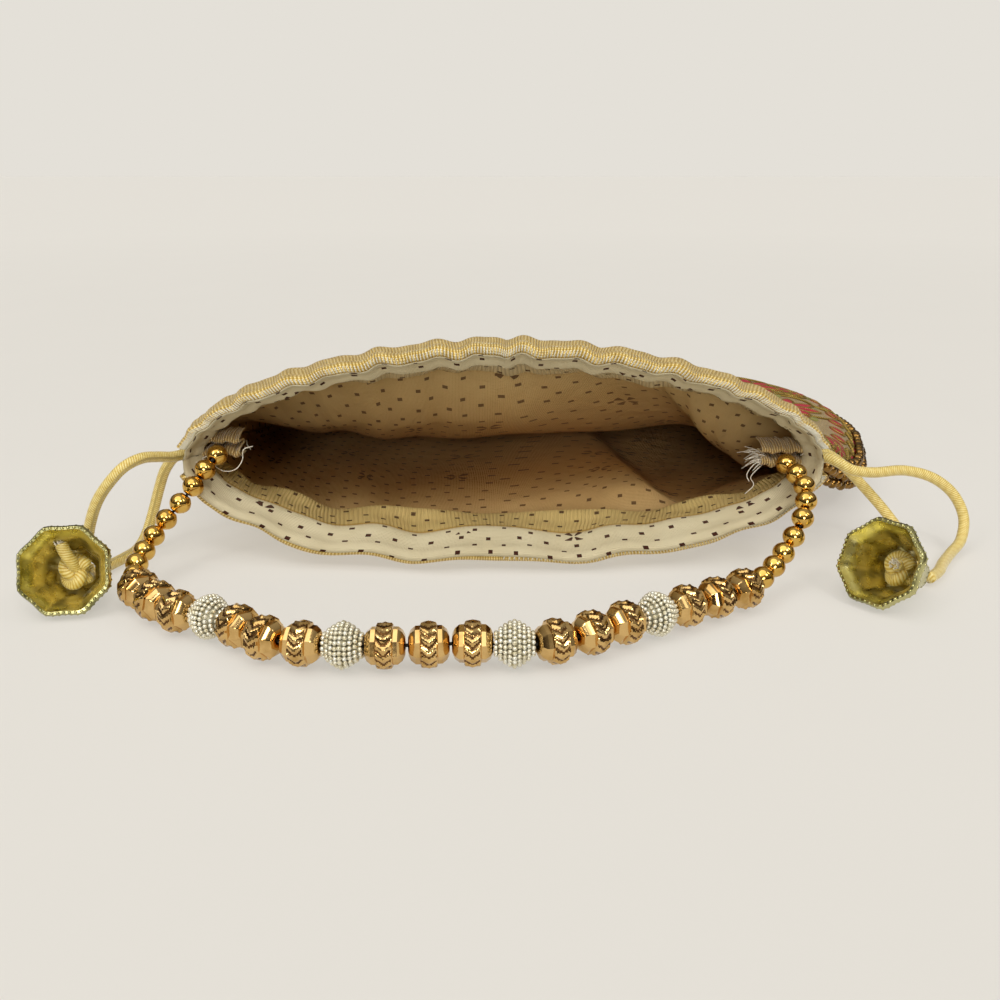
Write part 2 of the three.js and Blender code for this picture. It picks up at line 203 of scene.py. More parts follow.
def placed(point):
    """A point of the construction, in millimetres, in the row frame in metres."""
    return (Vector(point) + ORIGIN) * MM


def signed_power(value, power):
    return math.copysign(abs(value) ** power, value)


@lru_cache(maxsize=None)
def centre_line(distance):
    """The bag's middle and its heading at a distance behind the mouth."""
    x, y = MOUTH_CORNER
    steps = 24
    for i in range(steps):
        heading = TURN * smoothstep((i + 0.5) / steps * distance, 0, TURN_LENGTH)
        x += math.sin(heading) * distance / steps
        y += math.cos(heading) * distance / steps
    return x, y, TURN * smoothstep(distance, 0, TURN_LENGTH)


def bag_point(s, angle, inset=0.0):
    """s behind the mouth, the angle round the section (0 at the right seam, 90 degrees on top)."""
    body = smoothstep(s, 0, NECK_BLEND)
    past = max(0.0, (s - ROUND_START) / (DEPTH - ROUND_START))
    narrowing = max(0.0, 1 - past**ROUND_POWER) ** (1 / ROUND_POWER)
    seam = lerp(MOUTH_SEAM_HEIGHT, BODY_SEAM_HEIGHT, body)
    above = math.sin(angle) >= 0
    rise = lerp(MOUTH_RISE, BODY_RISE, body) if above else seam
    power = lerp(MOUTH_TOP, BODY_TOP, body) if above else lerp(MOUTH_BOTTOM, BODY_BOTTOM, body)
    half_width = lerp(MOUTH_HALF_WIDTH, BODY_HALF_WIDTH, body)
    across = (half_width - inset) * narrowing * signed_power(math.cos(angle), 2 / power)
    curved = signed_power(math.sin(angle), 2 / power)
    up = (rise - inset) * narrowing * (curved if above else max(-1, curved * BASE_FLATNESS))
    x, y, heading = centre_line(round(s * (DEPTH - inset) / DEPTH, 3))
    lip = (UPPER_LIP if above else LOWER_LIP) * math.sin(angle) ** 2 * (1 - smoothstep(s, 0, TURN_LENGTH))
    return Vector((x + across * math.cos(heading), y - across * math.sin(heading) - lip, seam + up))


def pleats(s, angle):
    """Depth of the drawn pleats, from -1 to 1: narrow on the upper lip and broad on the lower."""
    upper = 0.5 + 0.5 * math.tanh(6 * math.sin(angle))
    narrow = 0.7 * math.sin(37 * angle + 0.02 * s) + 0.3 * math.sin(61 * angle + 1.7)
    broad = 0.55 * math.sin(15 * angle + 0.9) + 0.45 * math.sin(26 * angle + 0.03 * s + 2.4)
    return lerp(broad, narrow, upper)


def cloth_point(s, angle, inset=0.0):
    """A point of the cloth as it lies: the bag's surface with its pleats, its lips and its folds."""
    lower = 0.5 - 0.5 * math.tanh(5 * math.sin(angle))
    drawn = (1 - smoothstep(s, 24, 70)) * lerp(0.75, 1, 1 - smoothstep(s, 2, 14))
    depth = sizes().pleat / MM * drawn * (1 + pleats(s, angle)) * abs(math.sin(angle)) ** 0.5
    lifted = 2.4 * lower * (1 - smoothstep(s, 12, 40)) * (1 - bump(angle % math.tau, LIP_CORNER, 0.13))
    slack = HOLLOW_SIDE * bump(s, 54, 27) * bump(math.remainder(angle, math.tau), math.radians(-22), 0.6)
    slack += HOLLOW_TOP * bump(s, 112, 46) * bump(math.remainder(angle, math.tau), math.radians(58), 0.75)
    slack += STITCHING_BELOW * lower * smoothstep(s, 24, 36)
    point = bag_point(max(0.0, s), angle, inset + depth + slack + lifted * abs(math.sin(angle)))
    point.y += min(0.0, s) + 0.9 * drawn * pleats(s + 30, angle + 0.35) * abs(math.sin(angle))
    return point


@lru_cache(maxsize=None)
def girth(s, top):
    """Angles and distances across the cloth, measured from its middle towards each seam."""
    count = 48
    first = 0 if top else -math.pi
    angles = spread(first, first + math.pi, count)
    points = [bag_point(s, angle) for angle in angles]
    travelled = [0.0]
    for a, b in zip(points, points[1:]):
        travelled.append(travelled[-1] + (b - a).length)
    return angles, travelled


def across_angle(s, across, top=True):
    """The angle of a point that lies across from the middle of the cloth, + towards the right."""
    angles, travelled = girth(round(s, 1), top)
    middle = travelled[-1] / 2
    wanted = middle - across if top else middle + across
    for i in range(1, len(travelled)):
        if travelled[i] >= wanted:
            part = (wanted - travelled[i - 1]) / (travelled[i] - travelled[i - 1])
            return lerp(angles[i - 1], angles[i], max(0.0, part))
    return angles[-1]


def half_girth(s, top=True):
    return girth(round(s, 1), top)[1][-1] / 2


def on_cloth(s, across, height, top=True):
    """A point at that height above the outer cloth."""
    return cloth_point(s, across_angle(s, across, top), -height)


# ---- Mesh helpers -------------------------------------------------------------------------------


def deselect():
    if bpy.context.object is not None and bpy.context.object.mode != "OBJECT":
        bpy.ops.object.mode_set(mode="OBJECT")
    bpy.ops.object.select_all(action="DESELECT")


def choose(piece):
    deselect()
    piece.select_set(True)
    bpy.context.view_layer.objects.active = piece


def apply_modifier(piece, kind, **settings):
    choose(piece)
    modifier = piece.modifiers.new(kind.lower(), kind)
    for key, value in settings.items():
        setattr(modifier, key, value)
    bpy.ops.object.modifier_apply(modifier=modifier.name)


def recalculate(piece):
    """Merges doubles and turns the faces of a closed shell outwards."""
    mesh = bmesh.new()
    mesh.from_mesh(piece.data)
    bmesh.ops.remove_doubles(mesh, verts=mesh.verts, dist=1e-6)
    bmesh.ops.recalc_face_normals(mesh, faces=mesh.faces)
    mesh.to_mesh(piece.data)
    mesh.free()


def new_mesh(name, points, faces, coordinates=None):
    """coordinates is the place of each point in the pattern, in millimetres, as a UV map."""
    data = bpy.data.meshes.new(name)
    data.from_pydata([tuple(p) for p in points], [], faces)
    if coordinates:
        layer = data.uv_layers.new(name="pattern")
        for loop in data.loops:
            layer.data[loop.index].uv = coordinates[loop.vertex_index]
    piece = bpy.data.objects.new(name, data)
    bpy.context.scene.collection.objects.link(piece)
    for polygon in data.polygons:
        polygon.use_smooth = True
    return piece


def grid_faces(rows, columns, closed=False):
    """Faces between the points of a grid. A closed grid joins its last column to its first."""
    faces = []
    for i in range(rows - 1):
        here, beyond = i * columns, (i + 1) * columns
        for j in range(columns if closed else columns - 1):
            k = (j + 1) % columns
            faces.append((here + j, here + k, beyond + k, beyond + j))
    return faces


def finished(piece, name, material, body, slot_name, *nodes):
    """Names a piece, dresses it and lets it ride on its body."""
    piece.name = name
    piece.data.name = name
    if material is not None:
        piece.data.materials.clear()
        piece.data.materials.append(material)
    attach(piece, body)
    if nodes:
        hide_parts(*nodes)
    return piece


def dress(node, material):
    """Gives a node of the construction that stays visible its own finish."""
    data = frame["nodes"][node].data
    data.materials.clear()
    data.materials.append(material)


def scattered(source, places):
    """One mesh with a copy of the source at each place, instead of the source."""
    points, faces = [], []
    for place in places:
        start = len(points)
        points += [place @ v.co for v in source.data.vertices]
        faces += [tuple(start + i for i in p.vertices) for p in source.data.polygons]
    bpy.data.objects.remove(source)
    return new_mesh("scattered", points, faces)


def joined(first, *others):
    choose(first)
    for other in others:
        other.select_set(True)
    bpy.ops.object.join()
    return first


def catmull_rom(points, step):
    """Evenly spaced points on a smooth curve through the given ones."""
    points = [Vector(p) for p in points]
    ends = [points[0] * 2 - points[1], *points, points[-1] * 2 - points[-2]]
    fine = [points[0]]
    for p0, p1, p2, p3 in zip(ends, ends[1:], ends[2:], ends[3:]):
        t1 = (p1 - p0).length ** 0.5
        t2 = t1 + (p2 - p1).length ** 0.5
        t3 = t2 + (p3 - p2).length ** 0.5
        for i in range(1, 13):
            t = lerp(t1, t2, i / 12)
            a1 = p0.lerp(p1, t / t1)
            a2 = p1.lerp(p2, (t - t1) / (t2 - t1))
            a3 = p2.lerp(p3, (t - t2) / (t3 - t2))
            b1 = a1.lerp(a2, t / t2)
            b2 = a2.lerp(a3, (t - t1) / (t3 - t1))
            fine.append(b1.lerp(b2, (t - t1) / (t2 - t1)))
    return evenly(fine, step)


def evenly(line, step):
    """The same line with its points about one step apart."""
    travelled = [0.0]
    for a, b in zip(line, line[1:]):
        travelled.append(travelled[-1] + (b - a).length)
    count = max(2, round(travelled[-1] / step))
    result, j = [], 0
    for i in range(count + 1):
        wanted = travelled[-1] * i / count
        while j < len(line) - 2 and travelled[j + 1] < wanted:
            j += 1
        part = (wanted - travelled[j]) / max(1e-12, travelled[j + 1] - travelled[j])
        result.append(line[j].lerp(line[j + 1], min(1.0, part)))
    return result


def tube(name, line, radius, sides):
    """A closed tube along the line, in metres."""
    side = Vector((0, 0, 1)).cross(line[1] - line[0])
    side = side.normalized() if side.length > 1e-9 else Vector((1, 0, 0))
    points, pattern, travelled = [], [], 0.0
    for i, point in enumerate(line):
        along = (line[min(i + 1, len(line) - 1)] - line[max(i - 1, 0)]).normalized()
        side = (side - along * side.dot(along)).normalized()
        up = along.cross(side)
        if i:
            travelled += (point - line[i - 1]).length
        for j in range(sides):
            angle = math.tau * j / sides
            points.append(point + side * math.cos(angle) * radius + up * math.sin(angle) * radius)
            pattern.append((angle, travelled / MM))
    faces = grid_faces(len(line), sides, closed=True)
    last = (len(line) - 1) * sides
    faces.append(tuple(range(sides)))
    faces.append(tuple(last + j for j in reversed(range(sides))))
    piece = new_mesh(name, points, faces, pattern)
    recalculate(piece)
    return piece


class Gathered:
    """Collects small shapes into one mesh."""

    def __init__(self):
        self.points, self.faces, self.pattern = [], [], []

    def add(self, points, faces, pattern):
        start = len(self.points)
        self.points += points
        self.faces += [tuple(start + i for i in face) for face in faces]
        self.pattern += pattern

    def take(self, piece, pattern):
        """Takes over the shape of a piece."""
        points = [v.co.copy() for v in piece.data.vertices]
        self.add(points, [tuple(p.vertices) for p in piece.data.polygons], pattern)
        bpy.data.objects.remove(piece)

    def add_line(self, line, radius, sides):
        one = tube("line", line, radius, sides)
        layer = one.data.uv_layers["pattern"].data
        pattern = [(0, 0)] * len(one.data.vertices)
        for loop in one.data.loops:
            pattern[loop.vertex_index] = tuple(layer[loop.index].uv)
        self.take(one, pattern)

    def build(self, name):
        return new_mesh(name, self.points, self.faces, self.pattern)


# ---- Materials ----------------------------------------------------------------------------------


def add_node(tree, kind, inputs=None, **settings):
    """Adds a node with its settings. Each input is a value or another node's output."""
    node = tree.nodes.new(kind)
    for key, value in settings.items():
        setattr(node, key, value)
    for key, value in (inputs or {}).items():
        if isinstance(value, bpy.types.NodeSocket):
            tree.links.new(value, node.inputs[key])
        else:
            node.inputs[key].default_value = value
    return node


def started(name, **shader_values):
    """A new material, its tree and its shader with constant values set on the shader's own sockets."""
    material = bpy.data.materials.new(name)
    material.use_nodes = True
    tree = material.node_tree
    shader = tree.nodes["Principled BSDF"]
    for key, value in shader_values.items():
        shader.inputs[key.replace("_", " ")].default_value = value
    return material, tree, shader


def pattern_axes(tree):
    """The two millimetre coordinates of the piece's own pattern, and the vector."""
    place = add_node(tree, "ShaderNodeUVMap", uv_map="pattern").outputs["UV"]
    split = add_node(tree, "ShaderNodeSeparateXYZ", {"Vector": place})
    return split.outputs["X"], split.outputs["Y"], place


def ridges(tree, coordinate, pitch):
    """Round ridges at that pitch: 0 in the grooves and 1 on the crests."""
    turned = add_node(tree, "ShaderNodeMath", {0: coordinate, 1: math.pi / pitch}, operation="MULTIPLY")
    wave = add_node(tree, "ShaderNodeMath", {0: turned.outputs[0]}, operation="SINE")
    return add_node(tree, "ShaderNodeMath", {0: wave.outputs[0]}, operation="ABSOLUTE").outputs[0]


def combined(tree, operation, a, b):
    """One sum on two values or outputs."""
    return add_node(tree, "ShaderNodeMath", {0: a, 1: b}, operation=operation).outputs[0]


def multiply_add(tree, value, factor, offset):
    inputs = {0: value, 1: factor, 2: offset}
    return add_node(tree, "ShaderNodeMath", inputs, operation="MULTIPLY_ADD").outputs[0]


def shaded(tree, amount, stops):
    """Colours along an amount from 0 to 1. stops are pairs of a place and a colour."""
    ramp = add_node(tree, "ShaderNodeValToRGB", {"Fac": amount})
    elements = ramp.color_ramp.elements
    while len(elements) < len(stops):
        elements.new(0.5)
    for element, (place, colour) in zip(elements, stops):
        element.position = place
        element.color = colour
    return ramp.outputs["Color"]


def mixed(tree, amount, a, b, blend="MIX"):
    mix = add_node(tree, "ShaderNodeMix", {0: amount, 6: a, 7: b}, data_type="RGBA", blend_type=blend)
    return mix.outputs[2]


def clouds(tree, vector, scale, detail=3.0):
    inputs = {"Vector": vector, "Scale": scale, "Detail": detail}
    return add_node(tree, "ShaderNodeTexNoise", inputs).outputs["Fac"]


def raised(tree, shader, height, depth_mm):
    """Gives the surface relief of that depth."""
    inputs = {"Strength": 1.0, "Distance": depth_mm * MM, "Height": height}
    relief = add_node(tree, "ShaderNodeBump", inputs)
    tree.links.new(relief.outputs["Normal"], shader.inputs["Normal"])


def object_place(tree):
    return add_node(tree, "ShaderNodeTexCoord").outputs["Object"]


def feed(tree, shader, socket, value):
    tree.links.new(value, shader.inputs[socket])


def ribbed_gold_weave(name, shade, yarn, light, pitch):
    # Ribbed brocade: fat weft ribs under flat metallic yarn. The colour paints a glinting highlight on the
    # crests and warm, dark shade in the grooves.
    material, tree, shader = started(name, Metallic=0.35, Sheen_Weight=0.25, Sheen_Roughness=0.4)
    across, along, place = pattern_axes(tree)
    wander = add_node(tree, "ShaderNodeMath", {0: clouds(tree, place, 0.09), 1: 0.5}, operation="SUBTRACT")
    bent = multiply_add(tree, wander.outputs[0], 1.6, across)
    rib = ridges(tree, bent, pitch)
    yarn_cross = ridges(tree, along, 0.5)
    level = multiply_add(tree, yarn_cross, 0.25, combined(tree, "MULTIPLY", rib, 0.75))
    # Painted shade in the grooves and a painted highlight on the crests, following the ribs.
    colour = shaded(tree, level, [(0.12, shade), (0.45, yarn), (0.8, yarn), (1.0, light)])
    worn = shaded(tree, clouds(tree, place, 0.35), [(0.3, (0.74, 0.7, 0.62, 1)), (0.62, grey(1))])
    feed(tree, shader, "Base Color", mixed(tree, 0.75, colour, worn, "MULTIPLY"))
    feed(tree, shader, "Roughness", shaded(tree, level, [(0.0, grey(0.75)), (1.0, grey(0.38))]))
    raised(tree, shader, level, 0.35)
    return material


def printed_cotton():
    # Thin plain-weave cotton, printed with small dashes and four-petal sprigs, over the gold casing.
    shades = colours()
    material, tree, shader = started("Printed cotton lining", Roughness=0.9)
    shader.inputs["Specular IOR Level"].default_value = 0.2
    across, along, place = pattern_axes(tree)
    pitch = sizes().dot_pitch / MM
    turned = add_node(
        tree,
        "ShaderNodeMapping",
        {"Vector": place, "Scale": (0.82 / pitch, 1.35 / pitch, 1), "Rotation": (0, 0, math.radians(45))},
    )
    dots = add_node(
        tree,
        "ShaderNodeTexVoronoi",
        {"Vector": turned.outputs[0], "Scale": 1.0, "Randomness": 0.32},
        voronoi_dimensions="2D",
        distance="MANHATTAN",
    )
    dash = combined(tree, "LESS_THAN", dots.outputs["Distance"], 0.155)
    wide = sizes().sprig_pitch / MM
    spaced = add_node(tree, "ShaderNodeMapping", {"Vector": place, "Scale": (1 / wide, 1.25 / wide, 1)})
    sprigs = add_node(
        tree,
        "ShaderNodeTexVoronoi",
        {"Vector": spaced.outputs[0], "Scale": 1.0, "Randomness": 0.5},
        voronoi_dimensions="2D",
    )
    from_sprig = add_node(
        tree,
        "ShaderNodeVectorMath",
        {0: spaced.outputs[0], 1: sprigs.outputs["Position"]},
        operation="SUBTRACT",
    )
    part = add_node(tree, "ShaderNodeSeparateXYZ", {"Vector": from_sprig.outputs[0]})
    bearing = combined(tree, "ARCTAN2", part.outputs["Y"], part.outputs["X"])
    petals = ridges(tree, bearing, math.pi / 2)
    wedge = combined(tree, "GREATER_THAN", petals, 0.78)
    near = combined(tree, "LESS_THAN", sprigs.outputs["Distance"], 3.3 / wide)
    apart = combined(tree, "GREATER_THAN", sprigs.outputs["Distance"], 0.6 / wide)
    petal = combined(tree, "MULTIPLY", combined(tree, "MULTIPLY", wedge, near), apart)
    depth = combined(tree, "DIVIDE", along, DEPTH)
    petal = combined(tree, "MULTIPLY", petal, combined(tree, "GREATER_THAN", depth, 0.036))
    printed = combined(tree, "MAXIMUM", dash, petal)
    lower = combined(tree, "LESS_THAN", across, 0.0)
    # Towards the bottom of the pouch the cloth turns darker and browner, through #CBA972 on the lower half
    # and #D0B680 on the roof to the deep colour: painted shade inside the pouch. The seam line and the gold
    # casing strip are the cloth's own colours.
    seam_line = linear("#B08A3C")
    lip_stops = [
        (0.05, shades.cotton),
        (0.053, seam_line),
        (0.056, seam_line),
        (0.06, shades.cotton_gold),
        (0.125, shades.cotton_gold),
        (0.145, linear("#CBA972")),
        (0.3, shades.cotton_in_deep_shade),
    ]
    roof_stops = [(0.06, shades.cotton), (0.13, linear("#D0B680")), (0.36, shades.cotton_in_deep_shade)]
    roof = shaded(tree, depth, roof_stops)
    cloth = mixed(tree, lower, roof, shaded(tree, depth, lip_stops))
    mottle = shaded(tree, clouds(tree, place, 0.05), [(0.3, (0.84, 0.8, 0.72, 1)), (0.7, grey(1))])
    cloth = mixed(tree, 0.7, cloth, mottle, "MULTIPLY")
    strength = combined(tree, "MAXIMUM", multiply_add(tree, depth, -1.3, 1.02), 0.5)
    ink = mixed(tree, strength, cloth, shades.print)
    feed(tree, shader, "Base Color", mixed(tree, printed, cloth, ink))
    weave = combined(tree, "MULTIPLY", ridges(tree, across, 0.42), ridges(tree, along, 0.42))
    creases = combined(tree, "MULTIPLY", clouds(tree, place, 0.12, 5.0), 11.0)
    casing = shaded(tree, depth, [(0.05, grey(0)), (0.06, grey(1)), (0.125, grey(1)), (0.14, grey(0))])
    gathered = combined(tree, "MULTIPLY", ridges(tree, across, 1.25), casing)
    gathers = combined(tree, "MULTIPLY", gathered, 3.0)
    height = combined(tree, "ADD", combined(tree, "ADD", weave, creases), gathers)
    raised(tree, shader, height, 0.16)
    return material


def satin_rattail():
    # Rattail: bright satin yarn braided over a core. Fine slanting yarns, and a long soft highlight. The
    # colour paints shade between the yarns and highlights on them.
    shades = colours()
    material, tree, shader = started(
        "Braided satin rattail", Roughness=0.42, Sheen_Weight=0.5, Sheen_Roughness=0.3, Coat_Weight=0.15
    )
    around, along, _ = pattern_axes(tree)
    slant = combined(tree, "ADD", combined(tree, "MULTIPLY", around, 0.55), along)
    yarn = ridges(tree, slant, 0.62)
    twist = ridges(tree, combined(tree, "SUBTRACT", combined(tree, "MULTIPLY", around, 0.8), along), 2.6)
    level = multiply_add(tree, yarn, 0.8, combined(tree, "MULTIPLY", twist, 0.2))
    # Painted shade in the grooves between the yarns and a painted highlight on their crests.
    colour = shaded(tree, level, [(0.0, linear("#C3A03C")), (0.4, shades.satin), (0.95, shades.satin_light)])
    feed(tree, shader, "Base Color", colour)
    raised(tree, shader, level, 0.12)
    return material


def plain_satin():
    # The drawstrings where they run hidden in the casing: the same satin, read from the piece's place.
    shades = colours()
    material, tree, shader = started("Satin in the casing", Roughness=0.45, Sheen_Weight=0.4)
    yarn = clouds(tree, object_place(tree), 1400)
    feed(tree, shader, "Base Color", shaded(tree, yarn, [(0.3, shades.satin), (0.7, shades.satin_light)]))
    raised(tree, shader, yarn, 0.1)
    return material


def satin_stitch(name, dark, light):
    # Satin stitch: parallel floss laid side by side, with a fine ridge for each thread and a soft shine. Half
    # the colour is random tone, and half follows the ridges as painted highlight and shade.
    material, tree, shader = started(name, Roughness=0.62, Sheen_Weight=0.06, Sheen_Roughness=0.35)
    across, _, place = pattern_axes(tree)
    floss = ridges(tree, across, 0.55)
    tone = multiply_add(tree, clouds(tree, place, 0.5), 0.5, combined(tree, "MULTIPLY", floss, 0.5))
    # Painted highlight on each floss ridge and painted shade between the ridges, mixed half and half with
    # random tone.
    feed(tree, shader, "Base Color", shaded(tree, tone, [(0.25, dark), (0.85, light)]))
    raised(tree, shader, floss, 0.2)
    return material


def twisted_zari():
    # Zari: flat gold wire wound on yarn, couched down as an outline. Each slanting turn has a painted glint
    # on its crest and painted shade between turns.
    shades = colours()
    material, tree, shader = started("Twisted zari", Metallic=0.75)
    around, along, _ = pattern_axes(tree)
    turns = ridges(tree, combined(tree, "ADD", combined(tree, "MULTIPLY", around, 0.3), along), 0.7)
    # Painted shade between the turns and a painted glint on their crests.
    stops = [(0.1, linear("#3E2F12")), (0.5, shades.zari), (1.0, shades.gold_yarn)]
    feed(tree, shader, "Base Color", shaded(tree, turns, stops))
    feed(tree, shader, "Roughness", shaded(tree, turns, [(0, grey(0.7)), (1, grey(0.3))]))
    raised(tree, shader, turns, 0.25)
    return material


def plated_metal(name, colour, roughness, dark, speckle=180, relief=0.0):
    # Plated metal: a smooth coat with faint smears, darker where the plating is thin.
    material, tree, shader = started(name, Metallic=1.0)
    place = object_place(tree)
    smear = clouds(tree, place, speckle, 4.0)
    feed(tree, shader, "Base Color", shaded(tree, smear, [(0.3, dark), (0.55, colour)]))
    low, high = roughness
    worn = clouds(tree, place, speckle * 3)
    feed(tree, shader, "Roughness", shaded(tree, worn, [(0.3, grey(low)), (0.7, grey(high))]))
    if relief:
        raised(tree, shader, clouds(tree, place, speckle * 4, 5.0), relief)
    return material


def seed_pearl():
    # Silvered seed pearls: milky, with a lustrous coat and a cool or warm cast from grain to grain.
    shades = colours()
    material, tree, shader = started(
        "Silvered seed pearls", Metallic=0.5, Roughness=0.2, Coat_Weight=0.6, Coat_Roughness=0.1
    )
    cast = clouds(tree, object_place(tree), 900, 2.0)
    stops = [(0.3, linear("#C2B893")), (0.5, shades.pearl), (0.72, linear("#E4E6DE"))]
    feed(tree, shader, "Base Color", shaded(tree, cast, stops))
    return material


def dull_thread(name, dark, light):
    # Spun cotton thread: matt, with a fine fibrous twist.
    material, tree, shader = started(name, Roughness=0.85, Sheen_Weight=0.2)
    fibre = clouds(tree, object_place(tree), 2500, 2.0)
    feed(tree, shader, "Base Color", shaded(tree, fibre, [(0.35, dark), (0.65, light)]))
    raised(tree, shader, fibre, 0.08)
    return material


def matt_floor():
    # Matt paper sweep: pale, with the faintest mottle. It glows a little, so that it stays even far away.
    shades = colours()
    material, tree, shader = started("Matt paper sweep", Roughness=0.9)
    mottle = clouds(tree, object_place(tree), 14, 4.0)
    tint = shaded(tree, mottle, [(0.3, grey(0.985)), (0.7, grey(1))])
    feed(tree, shader, "Base Color", mixed(tree, 1.0, shades.floor, tint, "MULTIPLY"))
    away = add_node(tree, "ShaderNodeVectorMath", {0: object_place(tree)}, operation="LENGTH")
    reach = {"From Min": 0.25, "From Max": 1.6, "To Min": 0.45, "To Max": 0.49}
    glow = add_node(tree, "ShaderNodeMapRange", {"Value": away.outputs["Value"], **reach})
    shader.inputs["Emission Color"].default_value = linear("#FFFBF2")
    feed(tree, shader, "Emission Strength", glow.outputs[0])
    return material


@lru_cache(maxsize=None)
def palette(name):
    """The materials, each made once."""
    shades = colours()
    pitch = sizes().rib / MM
    makers = {
        # Each weave's first colour is painted shade for its grooves, and its last is a painted highlight for
        # its crests.
        "band": lambda: ribbed_gold_weave(
            "Ribbed gold brocade", shades.gold_shade, shades.gold_yarn, shades.gold_light, pitch
        ),
        "ground": lambda: ribbed_gold_weave(
            "Ribbed brocade ground", linear("#7A5A2C"), shades.ground, shades.gold_yarn, pitch * 0.8
        ),
        "tab": lambda: ribbed_gold_weave(
            "Folded gold brocade", linear("#7E5423"), linear("#C09A57"), shades.gold_light, pitch * 0.8
        ),
        "lining": printed_cotton,
        "cord": satin_rattail,
        "hidden_cord": plain_satin,
        "petal": lambda: satin_stitch("Red satin stitch", shades.petal, shades.petal_light),
        "leaf": lambda: satin_stitch("Olive satin stitch", linear("#6B6A2B"), linear("#A7A04E")),
        "edge": lambda: satin_stitch("Gold edge stitch", linear("#F1E2AE"), linear("#FFFDF4")),
        "zari": twisted_zari,
        "polished": lambda: plated_metal(
            "Polished gold plate", shades.polished, (0.04, 0.1), linear("#B98A3A")
        ),
        "carved": lambda: plated_metal(
            "Cast rose-gold plate", shades.carved, (0.07, 0.16), linear("#B58E4E"), 200
        ),
        # Painted shade: the dark finish on the grooves of the chevrons stands in for the shade in the
        # carving.
        "hollow": lambda: plated_metal(
            "Painted shade in the carving", linear("#6B4A28"), (0.25, 0.45), linear("#3A2413"), 260, 0.05
        ),
        "pearl": seed_pearl,
        "setting": lambda: plated_metal(
            "Silvered setting", linear("#8F8A74"), (0.3, 0.5), linear("#5F5A48"), 200
        ),
        "brass": lambda: plated_metal(
            "Cast pale brass", shades.brass, (0.16, 0.34), linear("#7C7A45"), 140, 0.04
        ),
        "brushed": lambda: plated_metal(
            "Spun olive brass", linear("#DAD08C"), (0.2, 0.4), linear("#A79C50"), 120, 0.03
        ),
        "trim": lambda: plated_metal(
            "Antique gold bead plate", linear("#94703A"), (0.16, 0.32), shades.trim, 90
        ),
        "thread": lambda: dull_thread("Black polyester thread", linear("#120E0B"), linear("#2B2420")),
        "fray": lambda: dull_thread("Loose cotton thread", linear("#D8CDB6"), linear("#F6F1E4")),
    }
    return makers[name]()


# ---- Operators ----------------------------------------------------------------------------------

EYE = (0, -251, 102.6)
LOOKING_DOWN = math.radians(18.12)


class POTLI_OT_camera(bpy.types.Operator):
    """Puts the camera in front of the open mouth, a little above it"""

    bl_idname = "potli.camera"
    bl_label = "Camera"

    def execute(self, context):
        deselect()
        bpy.ops.object.camera_add(location=placed(EYE), rotation=(math.pi / 2 - LOOKING_DOWN, 0, 0))
        camera = context.object
        camera.name = "camera"
        camera.data.lens = 36
        camera.data.sensor_width = 36
        camera.data.clip_start = 0.005
        context.scene.camera = camera
        return {"FINISHED"}


# Free ends of the two drawstrings from the casing to the knots, in metres from the construction's origin.
STRAND_ROUTES = {
    "drawstring_left_strand_upper": [
        (-0.08315, 0.0194, 0.0335),
        (-0.085, 0.0187, 0.031),
        (-0.0874, 0.0172, 0.0286),
        (-0.0902, 0.0148, 0.0282),
        (-0.093, 0.0104, 0.0294),
        (-0.0954, 0.0054, 0.0304),
        (-0.0987, 0.0014, 0.0292),
        (-0.1025, 0, 0.0254),
        (-0.1064, 0.0002, 0.0202),
        (-0.109, 0.0004, 0.0144),
        (-0.1106, 0.0002, 0.0086),
        (-0.1107, -0.0022, 0.0042),
        (-0.1102, -0.0058, 0.0027),
    ],
    "drawstring_left_strand_lower": [
        (-0.0836, 0.0191, 0.0214),
        (-0.0854, 0.0199, 0.0241),
        (-0.0882, 0.021, 0.0266),
        (-0.0916, 0.0216, 0.0264),
        (-0.0952, 0.0222, 0.0224),
        (-0.0978, 0.0226, 0.0164),
        (-0.1, 0.0222, 0.0098),
        (-0.1014, 0.0186, 0.0042),
        (-0.1022, 0.0124, 0.0018),
        (-0.1034, 0.0062, 0.0018),
        (-0.1056, 0, 0.0018),
        (-0.1068, -0.0052, 0.0021),
    ],
    "drawstring_right_strand_upper": [
        (0.0861, 0.0228, 0.033),
        (0.0881, 0.023, 0.0303),
        (0.09, 0.0235, 0.0277),
        (0.093, 0.0248, 0.0264),
        (0.097, 0.0264, 0.024),
        (0.1016, 0.0278, 0.02),
        (0.1068, 0.0274, 0.0148),
        (0.1116, 0.0244, 0.0094),
        (0.115, 0.0186, 0.0044),
        (0.1154, 0.011, 0.0018),
        (0.1132, 0.0044, 0.0018),
        (0.1116, -0.0016, 0.0018),
        (0.1099, -0.0066, 0.0022),
    ],
    "drawstring_right_strand_lower": [
        (0.08685, 0.0226, 0.02085),
        (0.088, 0.022, 0.0228),
        (0.0894, 0.0211, 0.0251),
        (0.0914, 0.0198, 0.0266),
        (0.0946, 0.0184, 0.0256),
        (0.0984, 0.0176, 0.0236),
        (0.1046, 0.0184, 0.0226),
        (0.1153, 0.0216, 0.0222),
        (0.124, 0.0224, 0.0196),
        (0.1304, 0.0224, 0.0146),
        (0.1332, 0.0206, 0.0086),
        (0.131, 0.0156, 0.0036),
        (0.1256, 0.0094, 0.0018),
        (0.1204, 0.002, 0.0018),
        (0.1164, -0.0044, 0.0018),
        (0.112, -0.0095, 0.0022),
    ],
}


